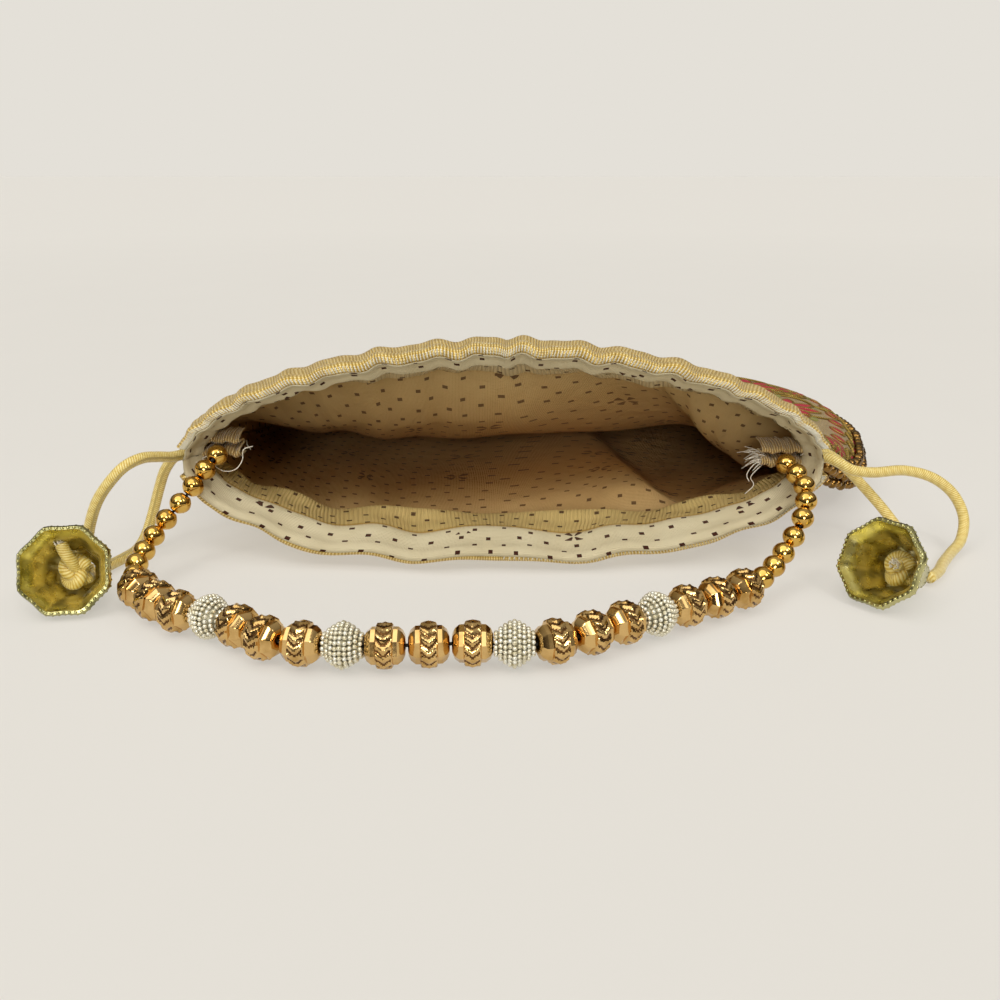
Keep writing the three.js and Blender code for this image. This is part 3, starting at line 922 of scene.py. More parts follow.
class POTLI_OT_drawstrings(bpy.types.Operator):
    """Lays the free strands of both drawstrings, from the casing's corners to the knots behind the bells"""

    bl_idname = "potli.drawstrings"
    bl_label = "Drawstrings"

    def execute(self, context):
        thickness = sizes().cord
        for node, route in STRAND_ROUTES.items():
            line = catmull_rom([Vector(p) + ORIGIN * MM for p in route], thickness * 0.4)
            strand = tube(f"satin_{node}", line, thickness / 2, 14)
            finished(strand, f"satin_{node}", palette("cord"), "bag", "satin_cord", node)
        dress("drawstring_left_loop", palette("hidden_cord"))
        dress("drawstring_right_loop", palette("hidden_cord"))
        return {"FINISHED"}


def cloth_sheet(name, stations, angles, inset, closed=False):
    """A sheet of cloth over the angles. Each station is a distance s and the base inset given to inset()."""
    rows, pattern = [], []
    ring = [bag_point(20, angle) for angle in angles]
    travelled = [0.0]
    for a, b in zip(ring, ring[1:]):
        travelled.append(travelled[-1] + (b - a).length)
    middle = travelled[-1] / 2
    along, before = min(0.0, stations[0][0]), stations[0]
    for s, base in stations:
        along += math.hypot(s - before[0], base - before[1])
        before = (s, base)
        for i, angle in enumerate(angles):
            rows.append(placed(cloth_point(s, angle, inset(s, angle, base))))
            pattern.append((travelled[i] - middle, along))
    faces = grid_faces(len(stations), len(angles), closed)
    return new_mesh(name, rows, faces, pattern)


def thickened(piece, thickness):
    """Gives a sheet its thickness, inwards from the outer face, and turns its faces out."""
    first = piece.data.polygons[0]
    if first.normal.dot(from_axis(first.center)) <= 0:
        piece.data.flip_normals()
    apply_modifier(piece, "SOLIDIFY", thickness=thickness, offset=-1, use_even_offset=False)
    recalculate(piece)


def from_axis(point):
    """Outwards from the middle of the bag, at a point in the row frame."""
    middle_across, middle_height = 5, 22
    return point - placed((middle_across, point.y / MM - ORIGIN.y, middle_height))


def as_given(s, angle, base):
    return base


def corded(s, angle, base):
    """The neck band stands out over the drawstrings and is drawn in along the casing's stitching."""
    over_cords = 0.9 * bump(s, 8, 2.3) + 0.75 * bump(s, 14.5, 2.3)
    stitched = 0.5 * bump(s, 3.4, 0.9) + 0.5 * bump(s, 21.5, 0.9)
    return base + (stitched - over_cords) * abs(math.sin(angle)) ** 0.3


class POTLI_OT_outer_cloth(bpy.types.Operator):
    """Makes the two embroidered panels and the two ribbed neck bands with their hems"""

    bl_idname = "potli.outer_cloth"
    bl_label = "Outer cloth"

    def execute(self, context):
        thickness = sizes().cloth
        far = [DEPTH - (DEPTH - NECK - 0.4) * (1 - t) ** 1.6 for t in spread(0, 1, 74)]
        hem = [(0.9, 2.3), (0.2, 2.1), (-0.15, 1.4), (-0.1, 0.6), (0.35, 0.15)]
        band = hem + [(s, 0.0) for s in spread(1, NECK, 38)]
        halves = {
            "front": (spread(0, math.pi, 150), spread(math.radians(7.5), math.radians(172.5), 300)),
            "back": (spread(-math.pi, 0, 150), spread(math.radians(-172.5), math.radians(-7.5), 300)),
        }
        for side, (panel_angles, band_angles) in halves.items():
            panel = cloth_sheet(f"{side}_cloth", [(s, 0.0) for s in far], panel_angles, as_given)
            recalculate(panel)
            thickened(panel, thickness)
            finished(panel, f"{side}_cloth", palette("ground"), "bag", "embroidered_cloth", f"{side}_panel")
            neck = cloth_sheet(f"{side}_band", band, band_angles, corded)
            thickened(neck, thickness * 0.75)
            finished(neck, f"{side}_band", palette("band"), "bag", "gold_ribbed_cloth", f"neck_band_{side}")
        return {"FINISHED"}


def lining_inset(s, angle, base):
    """The lining hangs in loose folds behind the casing, and covers the hem on the lower lip."""
    loose = smoothstep(s, 26, 60) * (1 - smoothstep(s, 150, 196))
    folds = 0.5 + 0.28 * math.sin(9 * angle + 0.035 * s) + 0.22 * math.sin(17 * angle - 0.05 * s + 1.1)
    upright = abs(math.sin(angle))
    ridge = 1.3 * bump(s, 19.5, 2.6) * (1.2 + math.sin(13 * angle + 0.6)) * upright**0.5
    if math.sin(angle) < 0:
        tucks = 0.5 * (math.sin(11 * angle + 0.4) + math.sin(19 * angle + 0.1 * s)) * bump(s, 6, 7)
        slack = 2.2 * loose * folds * upright**0.4 + ridge + 0.9 * tucks * upright
        return base + slack + standing_fold(s, angle, base)
    held_up = bump(math.remainder(angle, math.tau), math.radians(69), 0.3)
    hanging = smoothstep(s, 20, 45) * (1 - 0.65 * smoothstep(s, 60, 110)) * (1 - held_up)
    sag = HANGING_ROOF * hanging * smoothstep(upright, 0.12, 0.6)
    return base + 3.0 * loose * folds * upright**0.4 + sag + 0.5 * ridge


def standing_fold(s, angle, base):
    """One long fold of slack lining that stands up from the floor of the bag, steep on its right side."""
    beside = bag_point(s, angle, base).x - lerp(55, 33, s / 110)
    share = bump(beside, 0, 40 if beside < 0 else 6)
    return FOLD_HEIGHT * share * smoothstep(s, 21, 36) * (1 - smoothstep(s, 105, 150))


class POTLI_OT_lining(bpy.types.Operator):
    """Makes the printed lining, a pouch that folds over the lower lip and steps in round the drawstrings"""

    bl_idname = "potli.lining"
    bl_label = "Lining"

    def execute(self, context):
        lip = [(-0.75, 1.0), (-0.95, 1.7), (-0.7, 2.5), (0.2, 3.0), (1.6, 3.1)]
        casing = [(3.2, 3.4), (4.4, 4.6), (5.6, 5.7)]
        casing += [(s, CASING_INSET + 0.6) for s in spread(7, 20.5, 14)]
        casing += [(21.4, 5.4), (22.1, 4.2), (22.9, 3.1), (24.4, 2.8)]
        pouch = [(DEPTH - (DEPTH - 27) * (1 - t) ** 1.4, LINING_INSET + 0.7) for t in spread(0, 1, 84)]
        angles = spread(-math.pi, math.pi, 400)[:-1]

        def tucked(s, angle, base):
            upper = smoothstep(math.sin(angle), -0.28, 0.02)
            left = smoothstep(abs(angle), 1.55, 1.9) * (s < 0)
            return lining_inset(s, angle, max(base - 2.0 * left, lerp(base, 2.6, upper)))

        lining = cloth_sheet("lining_cloth", lip + casing + pouch, angles, tucked, closed=True)
        apply_modifier(lining, "SOLIDIFY", thickness=sizes().lining, offset=0, use_even_offset=False)
        recalculate(lining)
        finished(lining, "lining_cloth", palette("lining"), "bag", "printed_lining", "lining")
        return {"FINISHED"}


# One whip stitch over the edge of a band: s, the angle's shift and the inset along the thread.
WHIP_STITCH = (
    (4.2, -0.006, -0.05),
    (2.2, -0.005, -0.35),
    (0.4, -0.003, -0.3),
    (-0.5, 0, 0.5),
    (-0.6, 0.002, 1.7),
    (0.3, 0.003, 2.6),
)


class POTLI_OT_edge_stitches(bpy.types.Operator):
    """Whips the edge of both neck bands with fine gold thread"""

    bl_idname = "potli.edge_stitches"
    bl_label = "Edge stitches"

    def execute(self, context):
        stitches = Gathered()
        for first, last, count in ((8, 172, 250), (-90, -8, 120)):
            for angle in spread(math.radians(first), math.radians(last), count):
                line = [placed(cloth_point(s, angle + shift, inset)) for s, shift, inset in WHIP_STITCH]
                stitch = tube("stitch", line, 0.27 * MM, 5)
                stitches.take(stitch, [(i * 0.4, i * 0.1) for i in range(len(stitch.data.vertices))])
        whipping = stitches.build("edge_stitches")
        finished(whipping, "edge_stitches", palette("edge"), "bag", "gold_ribbed_cloth")
        return {"FINISHED"}


def pad(outline, height, top):
    """A satin-stitched pad on the cloth. Each row of the outline has s and across of its two edges."""
    columns = 6
    lift = 0.07
    points, pattern = [], []
    rows = len(outline)
    for i, (left, right) in enumerate(outline):
        for j in range(columns + 1):
            t = j / columns
            s, across = (lerp(left[k], right[k], t) for k in (0, 1))
            lengthwise = math.sin(math.pi * (0.04 + 0.92 * i / (rows - 1))) ** 0.5
            crown = math.sin(math.pi * t) ** 0.6 * lengthwise
            points.append(placed(on_cloth(s, across, lift + height * crown, top)))
            pattern.append((i * 0.9, t * 4))
    return points, grid_faces(rows, columns + 1), pattern


def petal_outline(s, across, bearing, length, width):
    """A pointed petal that grows from a place on the cloth in the given direction."""
    rows = []
    for t in spread(0.04, 1, 7):
        half = width / 2 * math.sin(math.pi * min(1, t**0.8)) ** 0.8 + 0.05
        middle = polar(s, across, bearing, length * t)
        rows.append([polar(*middle, bearing + quarter, half) for quarter in (-math.pi / 2, math.pi / 2)])
    return rows


COUCHING_STEP = 1.3 * MM


class POTLI_OT_embroidery(bpy.types.Operator):
    """Embroiders both panels with red flowers, olive leaves and outlines of twisted gold"""

    bl_idname = "potli.embroidery"
    bl_label = "Embroidery"

    def execute(self, context):
        reach = sizes().flower / MM
        places = []
        for row, s in enumerate(range(42, 173, 26)):
            for column in range(-4, 5):
                across = 33 * (column + 0.5 * (row % 2)) + 4
                places.append((s, across, reach))
                places.append((s + 3, across + 16.5, reach * 0.5))
        for side, top in (("front", True), ("back", False)):
            petals, leaves, zari = Gathered(), Gathered(), Gathered()
            for s, across, size in places:
                room = min(half_girth(s, top), half_girth(min(s + 14, 196), top))
                if abs(across) > room - size - 3:
                    continue
                near_bottom = 0.82 if s > 160 else 1
                self.flower(petals, leaves, zari, s, across, size * near_bottom, top)
            for way in (-1, 1):
                self.vine(petals, zari, way, top)
            slot_name = "embroidered_cloth"
            red = finished(petals.build("petals"), f"{side}_petals", palette("petal"), "bag", slot_name)
            green = finished(leaves.build("leaves"), f"{side}_leaves", palette("leaf"), "bag", slot_name)
            finished(zari.build("zari"), f"{side}_zari", palette("zari"), "bag", slot_name)
            for piece in (red, green):
                apply_modifier(piece, "SOLIDIFY", thickness=0.25 * MM, offset=0)
                recalculate(piece)
        return {"FINISHED"}

    def petal(self, petals, zari, outline, top):
        """A padded petal with its couched gold outline."""
        petals.add(*pad(outline, 0.75, top))
        loop = [left for left, right in outline] + [right for left, right in reversed(outline)]
        edge = [placed(on_cloth(s, across, 0.45, top)) for s, across in [*loop, loop[0]]]
        zari.add_line(catmull_rom(edge, COUCHING_STEP), 0.34 * MM, 5)

    def vine(self, petals, zari, way, top):
        """A waving stem inside the bead trim, with a petal in every bend."""
        line = []
        for i, s in enumerate(spread(31, 168, 92)):
            across = way * (half_girth(s, top) - 6.5 - 2.2 * math.sin(i * 0.8))
            line.append(placed(on_cloth(s, across, 0.45, top)))
        zari.add_line(catmull_rom(line, COUCHING_STEP), 0.5 * MM, 5)
        for i, s in enumerate(spread(33, 162, 22)):
            across = way * (half_girth(s, top) - (9.5 if i % 2 else 4.5))
            self.petal(petals, zari, petal_outline(s, across, 0.3 - 1.2 * way * (i % 2), 6.5, 3.6), top)

    def flower(self, petals, leaves, zari, s, across, reach, top):
        """Eight petals round two rings, with four leaves and four tendrils between them."""
        turn = 0.35 * math.sin(s * 0.7 + across * 0.3)
        for i in range(8):
            bearing = turn + math.tau * i / 8
            start = polar(s, across, bearing, reach * 0.22)
            self.petal(petals, zari, petal_outline(*start, bearing, reach * 0.74, reach * 0.4), top)
        for radius in (0.1, 0.2):
            ring = [polar(s, across, turn + math.tau * i / 14, reach * radius) for i in range(15)]
            zari.add_line([placed(on_cloth(a, b, 0.6, top)) for a, b in ring], 0.5 * MM, 6)
        for i in range(4):
            bearing = turn + math.pi / 4 + math.pi / 2 * i
            start = polar(s, across, bearing, reach * 1.02)
            leaves.add(*pad(petal_outline(*start, bearing + 0.5, reach * 0.42, reach * 0.24), 0.5, top))
            limit = half_girth(max(30, min(196, s)), top) - 2
            line = []
            for t in spread(0, 1, 12):
                away = reach * (1.0 + 0.36 * math.sin(math.pi * t))
                a, b = polar(s, across, bearing + 1.56 * t, away)
                within = (max(29.5, min(a, 194)), max(-limit, min(limit, b)))
                line.append(placed(on_cloth(*within, 0.4, top)))
            zari.add_line(catmull_rom(line, COUCHING_STEP), 0.4 * MM, 5)


def ball(segments, rings):
    """A ball of radius 1, to be scaled and placed."""
    deselect()
    bpy.ops.mesh.primitive_uv_sphere_add(segments=segments, ring_count=rings, radius=1)
    return bpy.context.object


def grain():
    """A small even ball of radius 1, to be scaled and placed."""
    deselect()
    bpy.ops.mesh.primitive_ico_sphere_add(subdivisions=2, radius=1)
    return bpy.context.object


class POTLI_OT_bead_trim(bpy.types.Operator):
    """Sews three rows of small antique gold beads along both side seams and round the bottom"""

    bl_idname = "potli.bead_trim"
    bl_label = "Bead trim"

    def execute(self, context):
        chance = random.Random(7)
        size = sizes().trim_bead / MM
        seam = [cloth_point(s, RIGHT) for s in spread(40, 199.5, 90)]
        seam += [cloth_point(s, LEFT) for s in reversed(spread(36, 199.5, 90))]
        places = []
        for row in (-1, 0, 1):
            line = evenly(seam, size * 1.02)
            for i, point in enumerate(line[1:-1], start=1):
                along = (line[i + 1] - line[i - 1]).normalized()
                outward = Vector((along.y, -along.x, 0)).normalized()
                away = 1.0 + (2.2 if row == 0 else 1.1) + chance.uniform(-0.25, 0.3)
                shift = along * (size / 2 if row else 0) + along * chance.uniform(-0.3, 0.3)
                height = Vector((0, 0, row * size * 0.86 + chance.uniform(-0.25, 0.25)))
                radius = size / 2 * chance.uniform(0.86, 1.08) * MM
                turn = Euler((chance.uniform(0, 3), chance.uniform(0, 3), 0)).to_matrix().to_4x4()
                at = placed(point + outward * away + shift + height)
                flattened = Matrix.Diagonal((radius, radius, radius * 0.86, 1))
                places.append(Matrix.Translation(at) @ turn @ flattened)
        beads = scattered(ball(8, 6), places)
        finished(beads, "seam_beads", palette("trim"), "bag", "trim_bead", "bead_trim")
        return {"FINISHED"}


TABS = {"left": (-78.8, 21.2, 29.2), "right": (79.3, 21, 26.3)}
TAB_WIDTH = 13
# The tab's layers from end to end, folded in a zigzag: towards the mouth and up.
TAB_SECTION = (
    (-4.6, 4.4),
    (-1, 4.8),
    (2.4, 4.0),
    (4.5, 3.1),
    (3.8, 2.2),
    (0, 2.3),
    (-2.4, 1.6),
    (-1.4, 0.7),
    (2.6, 0.8),
    (4.9, -0.3),
    (3.6, -1.6),
    (0, -1.5),
    (-4.6, -2.2),
)
LONG_THREADS = {
    "left": (
        (
            (-3.5, -6.2, -1.6),
            (-1.8, -6.4, -1),
            (-0.4, -6.6, -3.2),
            (2.4, -6.8, -5),
            (5.6, -6.6, -4.6),
            (7.6, -6, -2),
            (8, -5.6, 0.8),
            (10.5, -5, 1.6),
        ),
        ((-3, -6, -1.8), (-5.2, -6.4, -2.6), (-7, -6, -1.4)),
    ),
    "right": (
        ((-4.6, -2, -0.6), (-7, -3, -2.4), (-9, -3.4, -5), (-8, -3.6, -7), (-10.4, -4, -9.6)),
        ((-4.8, -3, 0.4), (-8.2, -3.4, -1), (-10.2, -3.6, -4.2), (-9.4, -3.8, -6)),
        ((4.2, -4, 1.6), (6, -4.6, 2.8), (7.4, -4.8, 0.6), (6.2, -4.8, -2.6)),
    ),
}


def drawn(chance, *ranges):
    """A vector with each coordinate drawn from its own range."""
    return Vector([chance.uniform(low, high) for low, high in ranges])


class POTLI_OT_tabs(bpy.types.Operator):
    """Folds the two cloth tabs that hold the handle, and leaves their ends frayed"""

    bl_idname = "potli.tabs"
    bl_label = "Tabs"

    def execute(self, context):
        chance = random.Random(11)
        for side, centre in TABS.items():
            self.fold(side, Vector(centre))
            frays = Gathered()
            self.fray(frays, side, Vector(centre), chance)
            for route in LONG_THREADS[side]:
                line = [placed(Vector(centre) + Vector(p)) for p in route]
                frays.add_line(catmull_rom(line, 0.6 * MM), 0.13 * MM, 5)
            finished(frays.build("frays"), f"loose_threads_{side}", palette("fray"), "bag", "tab_cloth")
        return {"FINISHED"}

    def fold(self, side, middle):
        rows, pattern = [], []
        for i, x in enumerate(spread(-TAB_WIDTH / 2, TAB_WIDTH / 2, 24)):
            wave = 0.35 * math.sin(i * 0.8) + 0.2 * math.sin(i * 1.9 + 1)
            for j, (away, up) in enumerate(TAB_SECTION):
                edge = 0.9 * math.sin(i * 1.3 + j) * (away < -4)
                rows.append(placed(middle + Vector((x, -away + edge, up + wave * (0.4 + 0.1 * j)))))
                pattern.append((x, 2.6 * j))
        tab = new_mesh("tab", rows, grid_faces(25, len(TAB_SECTION)), pattern)
        apply_modifier(tab, "SUBSURF", levels=2, render_levels=2)
        apply_modifier(tab, "SOLIDIFY", thickness=0.5 * MM, offset=0)
        recalculate(tab)
        finished(tab, f"folded_tab_{side}", palette("tab"), "bag", "tab_cloth", f"tab_{side}")

    def fray(self, frays, side, middle, chance):
        """Short threads at the raw end: in front of the left tab, on the inner side of the right one."""
        half = TAB_WIDTH / 2
        sideways = (-1.5, 1.5)
        for _ in range(34):
            start = drawn(chance, (-half, half), (3, 5), (-1.3, 1.7))
            if side == "right":
                start = drawn(chance, (-half, 1.5 - half), (-4, 3), (-1.2, 1.6))
                sideways = (-3.7, -0.7)
            away = drawn(chance, sideways, (-1, 2), (-2.6, 0.8))
            bend = away * 0.5 + Vector((0, 0, chance.uniform(-0.3, 0.5)))
            tip = away * chance.uniform(0.9, 1.4)
            line = [placed(middle + start + p) for p in (Vector(), bend, tip)]
            frays.add_line(catmull_rom(line, 0.4 * MM), 0.09 * MM, 4)


# ---- Turned pieces ------------------------------------------------------------------------------


def turned(name, profile, sides):
    """A ring drawn up through the profile's radii and heights, in millimetres."""
    deselect()
    radius, height = profile[0]
    bpy.ops.mesh.primitive_circle_add(vertices=sides, radius=radius * MM, location=(0, 0, height * MM))
    piece = bpy.context.object
    piece.name = name
    bpy.ops.object.transform_apply(location=True, rotation=False, scale=False)
    bpy.ops.object.mode_set(mode="EDIT")
    bpy.ops.mesh.select_all(action="SELECT")
    for next_radius, next_height in profile[1:]:
        rise = (0, 0, (next_height - height) * MM)
        bpy.ops.mesh.extrude_region_move(TRANSFORM_OT_translate={"value": rise})
        scale = next_radius / radius
        bpy.ops.transform.resize(value=(scale, scale, 1), center_override=(0, 0, next_height * MM))
        radius, height = next_radius, next_height
    bpy.ops.object.mode_set(mode="OBJECT")
    return piece


def smooth_by_angle(piece, degrees):
    choose(piece)
    bpy.ops.object.shade_smooth_by_angle(angle=math.radians(degrees))


def bore(profile):
    """Closes a profile into a ring section round a bore."""
    radius = 0.9
    return [(radius, profile[0][1]), *profile, (radius, profile[-1][1])]


def mirrored(profile):
    """The same profile below the middle, in the order from the bottom up."""
    return [(radius, -height) for radius, height in reversed(profile)]


def squeeze(piece, share_at):
    """Moves every vertex towards or away from the turning axis by a share of its distance."""
    for vertex in piece.data.vertices:
        share = share_at(math.atan2(vertex.co.y, vertex.co.x), vertex.co)
        vertex.co.x *= share
        vertex.co.y *= share


def closed_ring(piece):
    """Joins the last ring to the first through the bore."""
    choose(piece)
    bpy.ops.object.mode_set(mode="EDIT")
    bpy.ops.mesh.select_mode(type="EDGE")
    bpy.ops.mesh.select_all(action="DESELECT")
    bpy.ops.mesh.select_non_manifold()
    bpy.ops.mesh.bridge_edge_loops()
    bpy.ops.object.mode_set(mode="OBJECT")
    recalculate(piece)


def polished_bead():
    """A plain round bead."""
    upper = [(2.78, 0.8), (2.35, 1.6), (1.7, 2.25), (1.25, 2.6)]
    bead = turned("polished_bead", bore([*mirrored(upper), (2.92, 0), *upper]), 24)
    closed_ring(bead)
    bead.data.materials.append(palette("polished"))
    smooth_by_angle(bead, 40)
    return bead


def octagon(angle):
    """How far the side of an octagon is from its middle at an angle, as a share of its corner's radius."""
    corner = math.pi / 8
    wedge = (angle + corner) % (math.pi / 4) - corner
    return math.cos(corner) / math.cos(wedge)


def chevrons(angle, height):
    """The carved band's pattern, from -1 in its grooves to 1 on its crests."""
    return math.sin(13 * angle + 2.3 * height)


def carved_bead():
    """A cast bead: eight facets on each side of a raised band of carved chevrons."""
    side = [(4.55, 1.8), (4.2, 1.95), (4.15, 2.9), (3.35, 3.9), (2.3, 4.4), (1.7, 4.5)]
    band = [(4.98 - 0.16 * abs(height), height) for height in spread(-1.6, 1.6, 10)]
    band_edge = 1.7
    bead = turned("carved_bead", bore(mirrored(side) + band + side), 80)
    closed_ring(bead)

    def cast(angle, place):
        height = abs(place.z) / MM
        if place.to_2d().length < 1.2 * MM:
            return 1
        if height > 1.9:
            return octagon(angle)
        return 1 + 0.045 * chevrons(angle, height) * (height < band_edge)

    squeeze(bead, cast)
    bead.data.materials.append(palette("carved"))
    bead.data.materials.append(palette("hollow"))
    for polygon in bead.data.polygons:
        height = abs(polygon.center.z) / MM
        angle = math.atan2(polygon.center.y, polygon.center.x)
        on_band = height < band_edge and polygon.center.to_2d().length > 3 * MM
        # The deepest faces of the chevrons get the dark second material: painted shade in the carving.
        if on_band and chevrons(angle, height) < -0.55:
            polygon.material_index = 1
    smooth_by_angle(bead, 30)
    return bead


def pearl_bead():
    """A core that tapers to both ends, set all over with rows of grains."""

    def taper(height):
        return 1 - 0.6 * (abs(height) / 4.5) ** 1.45

    core = turned("pearl_core", bore([(4.5 * taper(height), height) for height in spread(-4.1, 4.1, 10)]), 24)
    closed_ring(core)
    core_faces = len(core.data.polygons)
    places = []
    for i, height in enumerate(spread(-4.0, 4.0, 8)):
        radius = 4.85 * taper(height)
        count = max(8, round(math.tau * radius / 1.14))
        for j in range(count):
            turn = math.tau * (j + 0.5 * (i % 2)) / count
            at = Vector((radius * math.cos(turn), radius * math.sin(turn), height)) * MM
            places.append(Matrix.Translation(at) @ Matrix.Scale(0.56 * MM, 4))
    bead = joined(core, scattered(grain(), places))
    bead.data.materials.clear()
    bead.data.materials.append(palette("pearl"))
    bead.data.materials.append(palette("setting"))
    for polygon in bead.data.polygons:
        polygon.use_smooth = True
        polygon.material_index = 1 if polygon.index < core_faces else 0
    return bead


def long_axis(node):
    """The middle of a turned CAD node and the direction of its bore, from its vertices."""
    places = {tuple(round(c, 6) for c in v.co) for v in frame["nodes"][node].data.vertices}
    points = [Vector(p) for p in places]
    middle = sum(points, Vector()) / len(points)
    spread_of = Matrix(((0, 0, 0), (0, 0, 0), (0, 0, 0)))
    for point in points:
        away = point - middle
        for row in range(3):
            for column in range(3):
                spread_of[row][column] += away[row] * away[column]
    along = Vector((0.9, 0.37, 0.21))
    for _ in range(60):
        along = (spread_of @ along).normalized()
    return middle, along


class POTLI_OT_handle_beads(bpy.types.Operator):
    """Strings the polished, carved and pearled beads of the handle"""

    bl_idname = "potli.handle_beads"
    bl_label = "Handle beads"

    def execute(self, context):
        kinds = {
            "small_bead": (polished_bead(), "polished_gold_bead"),
            "carved_bead": (carved_bead(), "antique_gold_bead"),
            "pearl_bead": (pearl_bead(), "pearl_cluster_bead"),
        }
        chance = random.Random(3)
        for node in sorted(frame["nodes"]):
            kind = node[: node.rfind("bead") + 4] if "bead_" in node and node != "bead_trim" else None
            if kind not in kinds:
                continue
            source, slot_name = kinds[kind]
            middle, along = long_axis(node)
            spin = Matrix.Rotation(chance.uniform(0, math.tau), 4, "Z")
            turn = along.to_track_quat("Z", "Y").to_matrix().to_4x4() @ spin
            bead = source.copy()
            bead.data = source.data.copy()
            context.scene.collection.objects.link(bead)
            bead.data.transform(Matrix.Translation(middle) @ turn)
            finished(bead, f"strung_{node}", None, "handle", slot_name, node)
        for source, slot_name in kinds.values():
            bpy.data.objects.remove(source)
        dress("handle_thread", palette("thread"))
        return {"FINISHED"}


# ---- Bells and knots ----------------------------------------------------------------------------


def bell_places():
    """Each bell's frame: its top, and +Z from the top towards the rim."""
    places = {}
    for joint in frame["joints"]:
        if joint["name"].startswith("bell_"):
            side = joint["name"].split("_")[1]
            axis = Vector(joint["axis"]).normalized()
            turn = math.atan2(axis.x, -axis.y)
            tip = math.acos(axis.z)
            rotation = Matrix.Rotation(turn, 4, "Z") @ Matrix.Rotation(tip, 4, "X")
            places[side] = Matrix.Translation(joint["pos_m"]) @ rotation
    return places


def lobed(angle):
    """The eight soft lobes of the cap, as a share of its radius."""
    return lerp(octagon(angle), 0.965 + 0.035 * math.cos(8 * (angle - math.pi / 8)), 0.65)


BELL_OUTSIDE = [
    (3.6, 0),
    (4.8, 0.0),
    (5.3, 0.7),
    (5.9, 3),
    (6.5, 5.2),
    (7.1, 7.4),
    (7.9, 9.6),
    (8.7, 11.6),
    (9.2, 13),
    (9.9, 13.7),
    (11.2, 14.5),
    (11.55, 15.2),
    (11.6, 16.2),
    (11.2, 16.8),
]
BELL_INSIDE = [
    (10.5, 16.9),
    (10.1, 16.1),
    (9.4, 15.1),
    (8.7, 14.1),
    (8.2, 12.6),
    (7.4, 10.4),
    (6.7, 8.2),
    (6.0, 5.8),
    (5.3, 3.2),
    (4.6, 1.3),
    (3.6, 0.9),
]
# Rings of studs: the ring's radius and height, how many, and the radius of one.
BELL_STUDS = (
    (10.95, 16.9, 48, 0.42),
    (11.35, 15.4, 48, 0.4),
    (10.1, 14.0, 40, 0.42),
    (8.9, 12.4, 32, 0.36),
    (5.2, 1.1, 24, 0.36),
)


def bell_cap():
    """An eight-sided cap with a flared and studded collar, hollow inside."""
    cap = turned("bell_cap", BELL_OUTSIDE + BELL_INSIDE, 64)
    closed_ring(cap)
    squeeze(cap, lambda angle, place: lobed(angle))
    cap.data.materials.append(palette("brass"))
    cap.data.materials.append(palette("brushed"))
    for polygon in cap.data.polygons:
        outwards = Vector((polygon.center.x, polygon.center.y, 0))
        inside = polygon.normal.dot(outwards) < 0 and polygon.center.z < 16.5 * MM
        polygon.material_index = 1 if inside else 0
    smooth_by_angle(cap, 38)
    studs = []
    for radius, height, count, size in BELL_STUDS:
        for i in range(count):
            angle = math.tau * i / count
            away = radius * lobed(angle)
            at = Vector((away * math.cos(angle), away * math.sin(angle), height)) * MM
            studs.append(Matrix.Translation(at) @ Matrix.Scale(size * MM, 4))
    beading = scattered(grain(), studs)
    beading.data.materials.append(palette("brass"))
    return joined(cap, beading)


def knot_line(radius, waist, height):
    """The line of an overhand knot, pulled tight."""
    line = []
    for i in range(61):
        t = math.tau * i / 60
        away = radius + waist * math.cos(3 * t)
        up = waist * 1.2 * math.sin(3 * t) + height
        line.append(Vector((away * math.cos(2 * t), away * math.sin(2 * t), up)) * MM)
    return line[2:-2]


def straight_line(first, last, steps):
    """A straight line up the bell's axis, from one height to another."""
    return [Vector((0, 0, height)) * MM for height in spread(first, last, steps)]


KNOT_TAILS = {
    "left": [(0.3, 0.6, 6.2), (-0.6, 2.8, 8.6), (-1.6, 5.0, 9.8), (-2.2, 7.0, 10.4)],
    "right": [(0, 0.4, 5.4), (0.2, 0.6, 7.6), (0.3, 0.8, 9.2)],
}


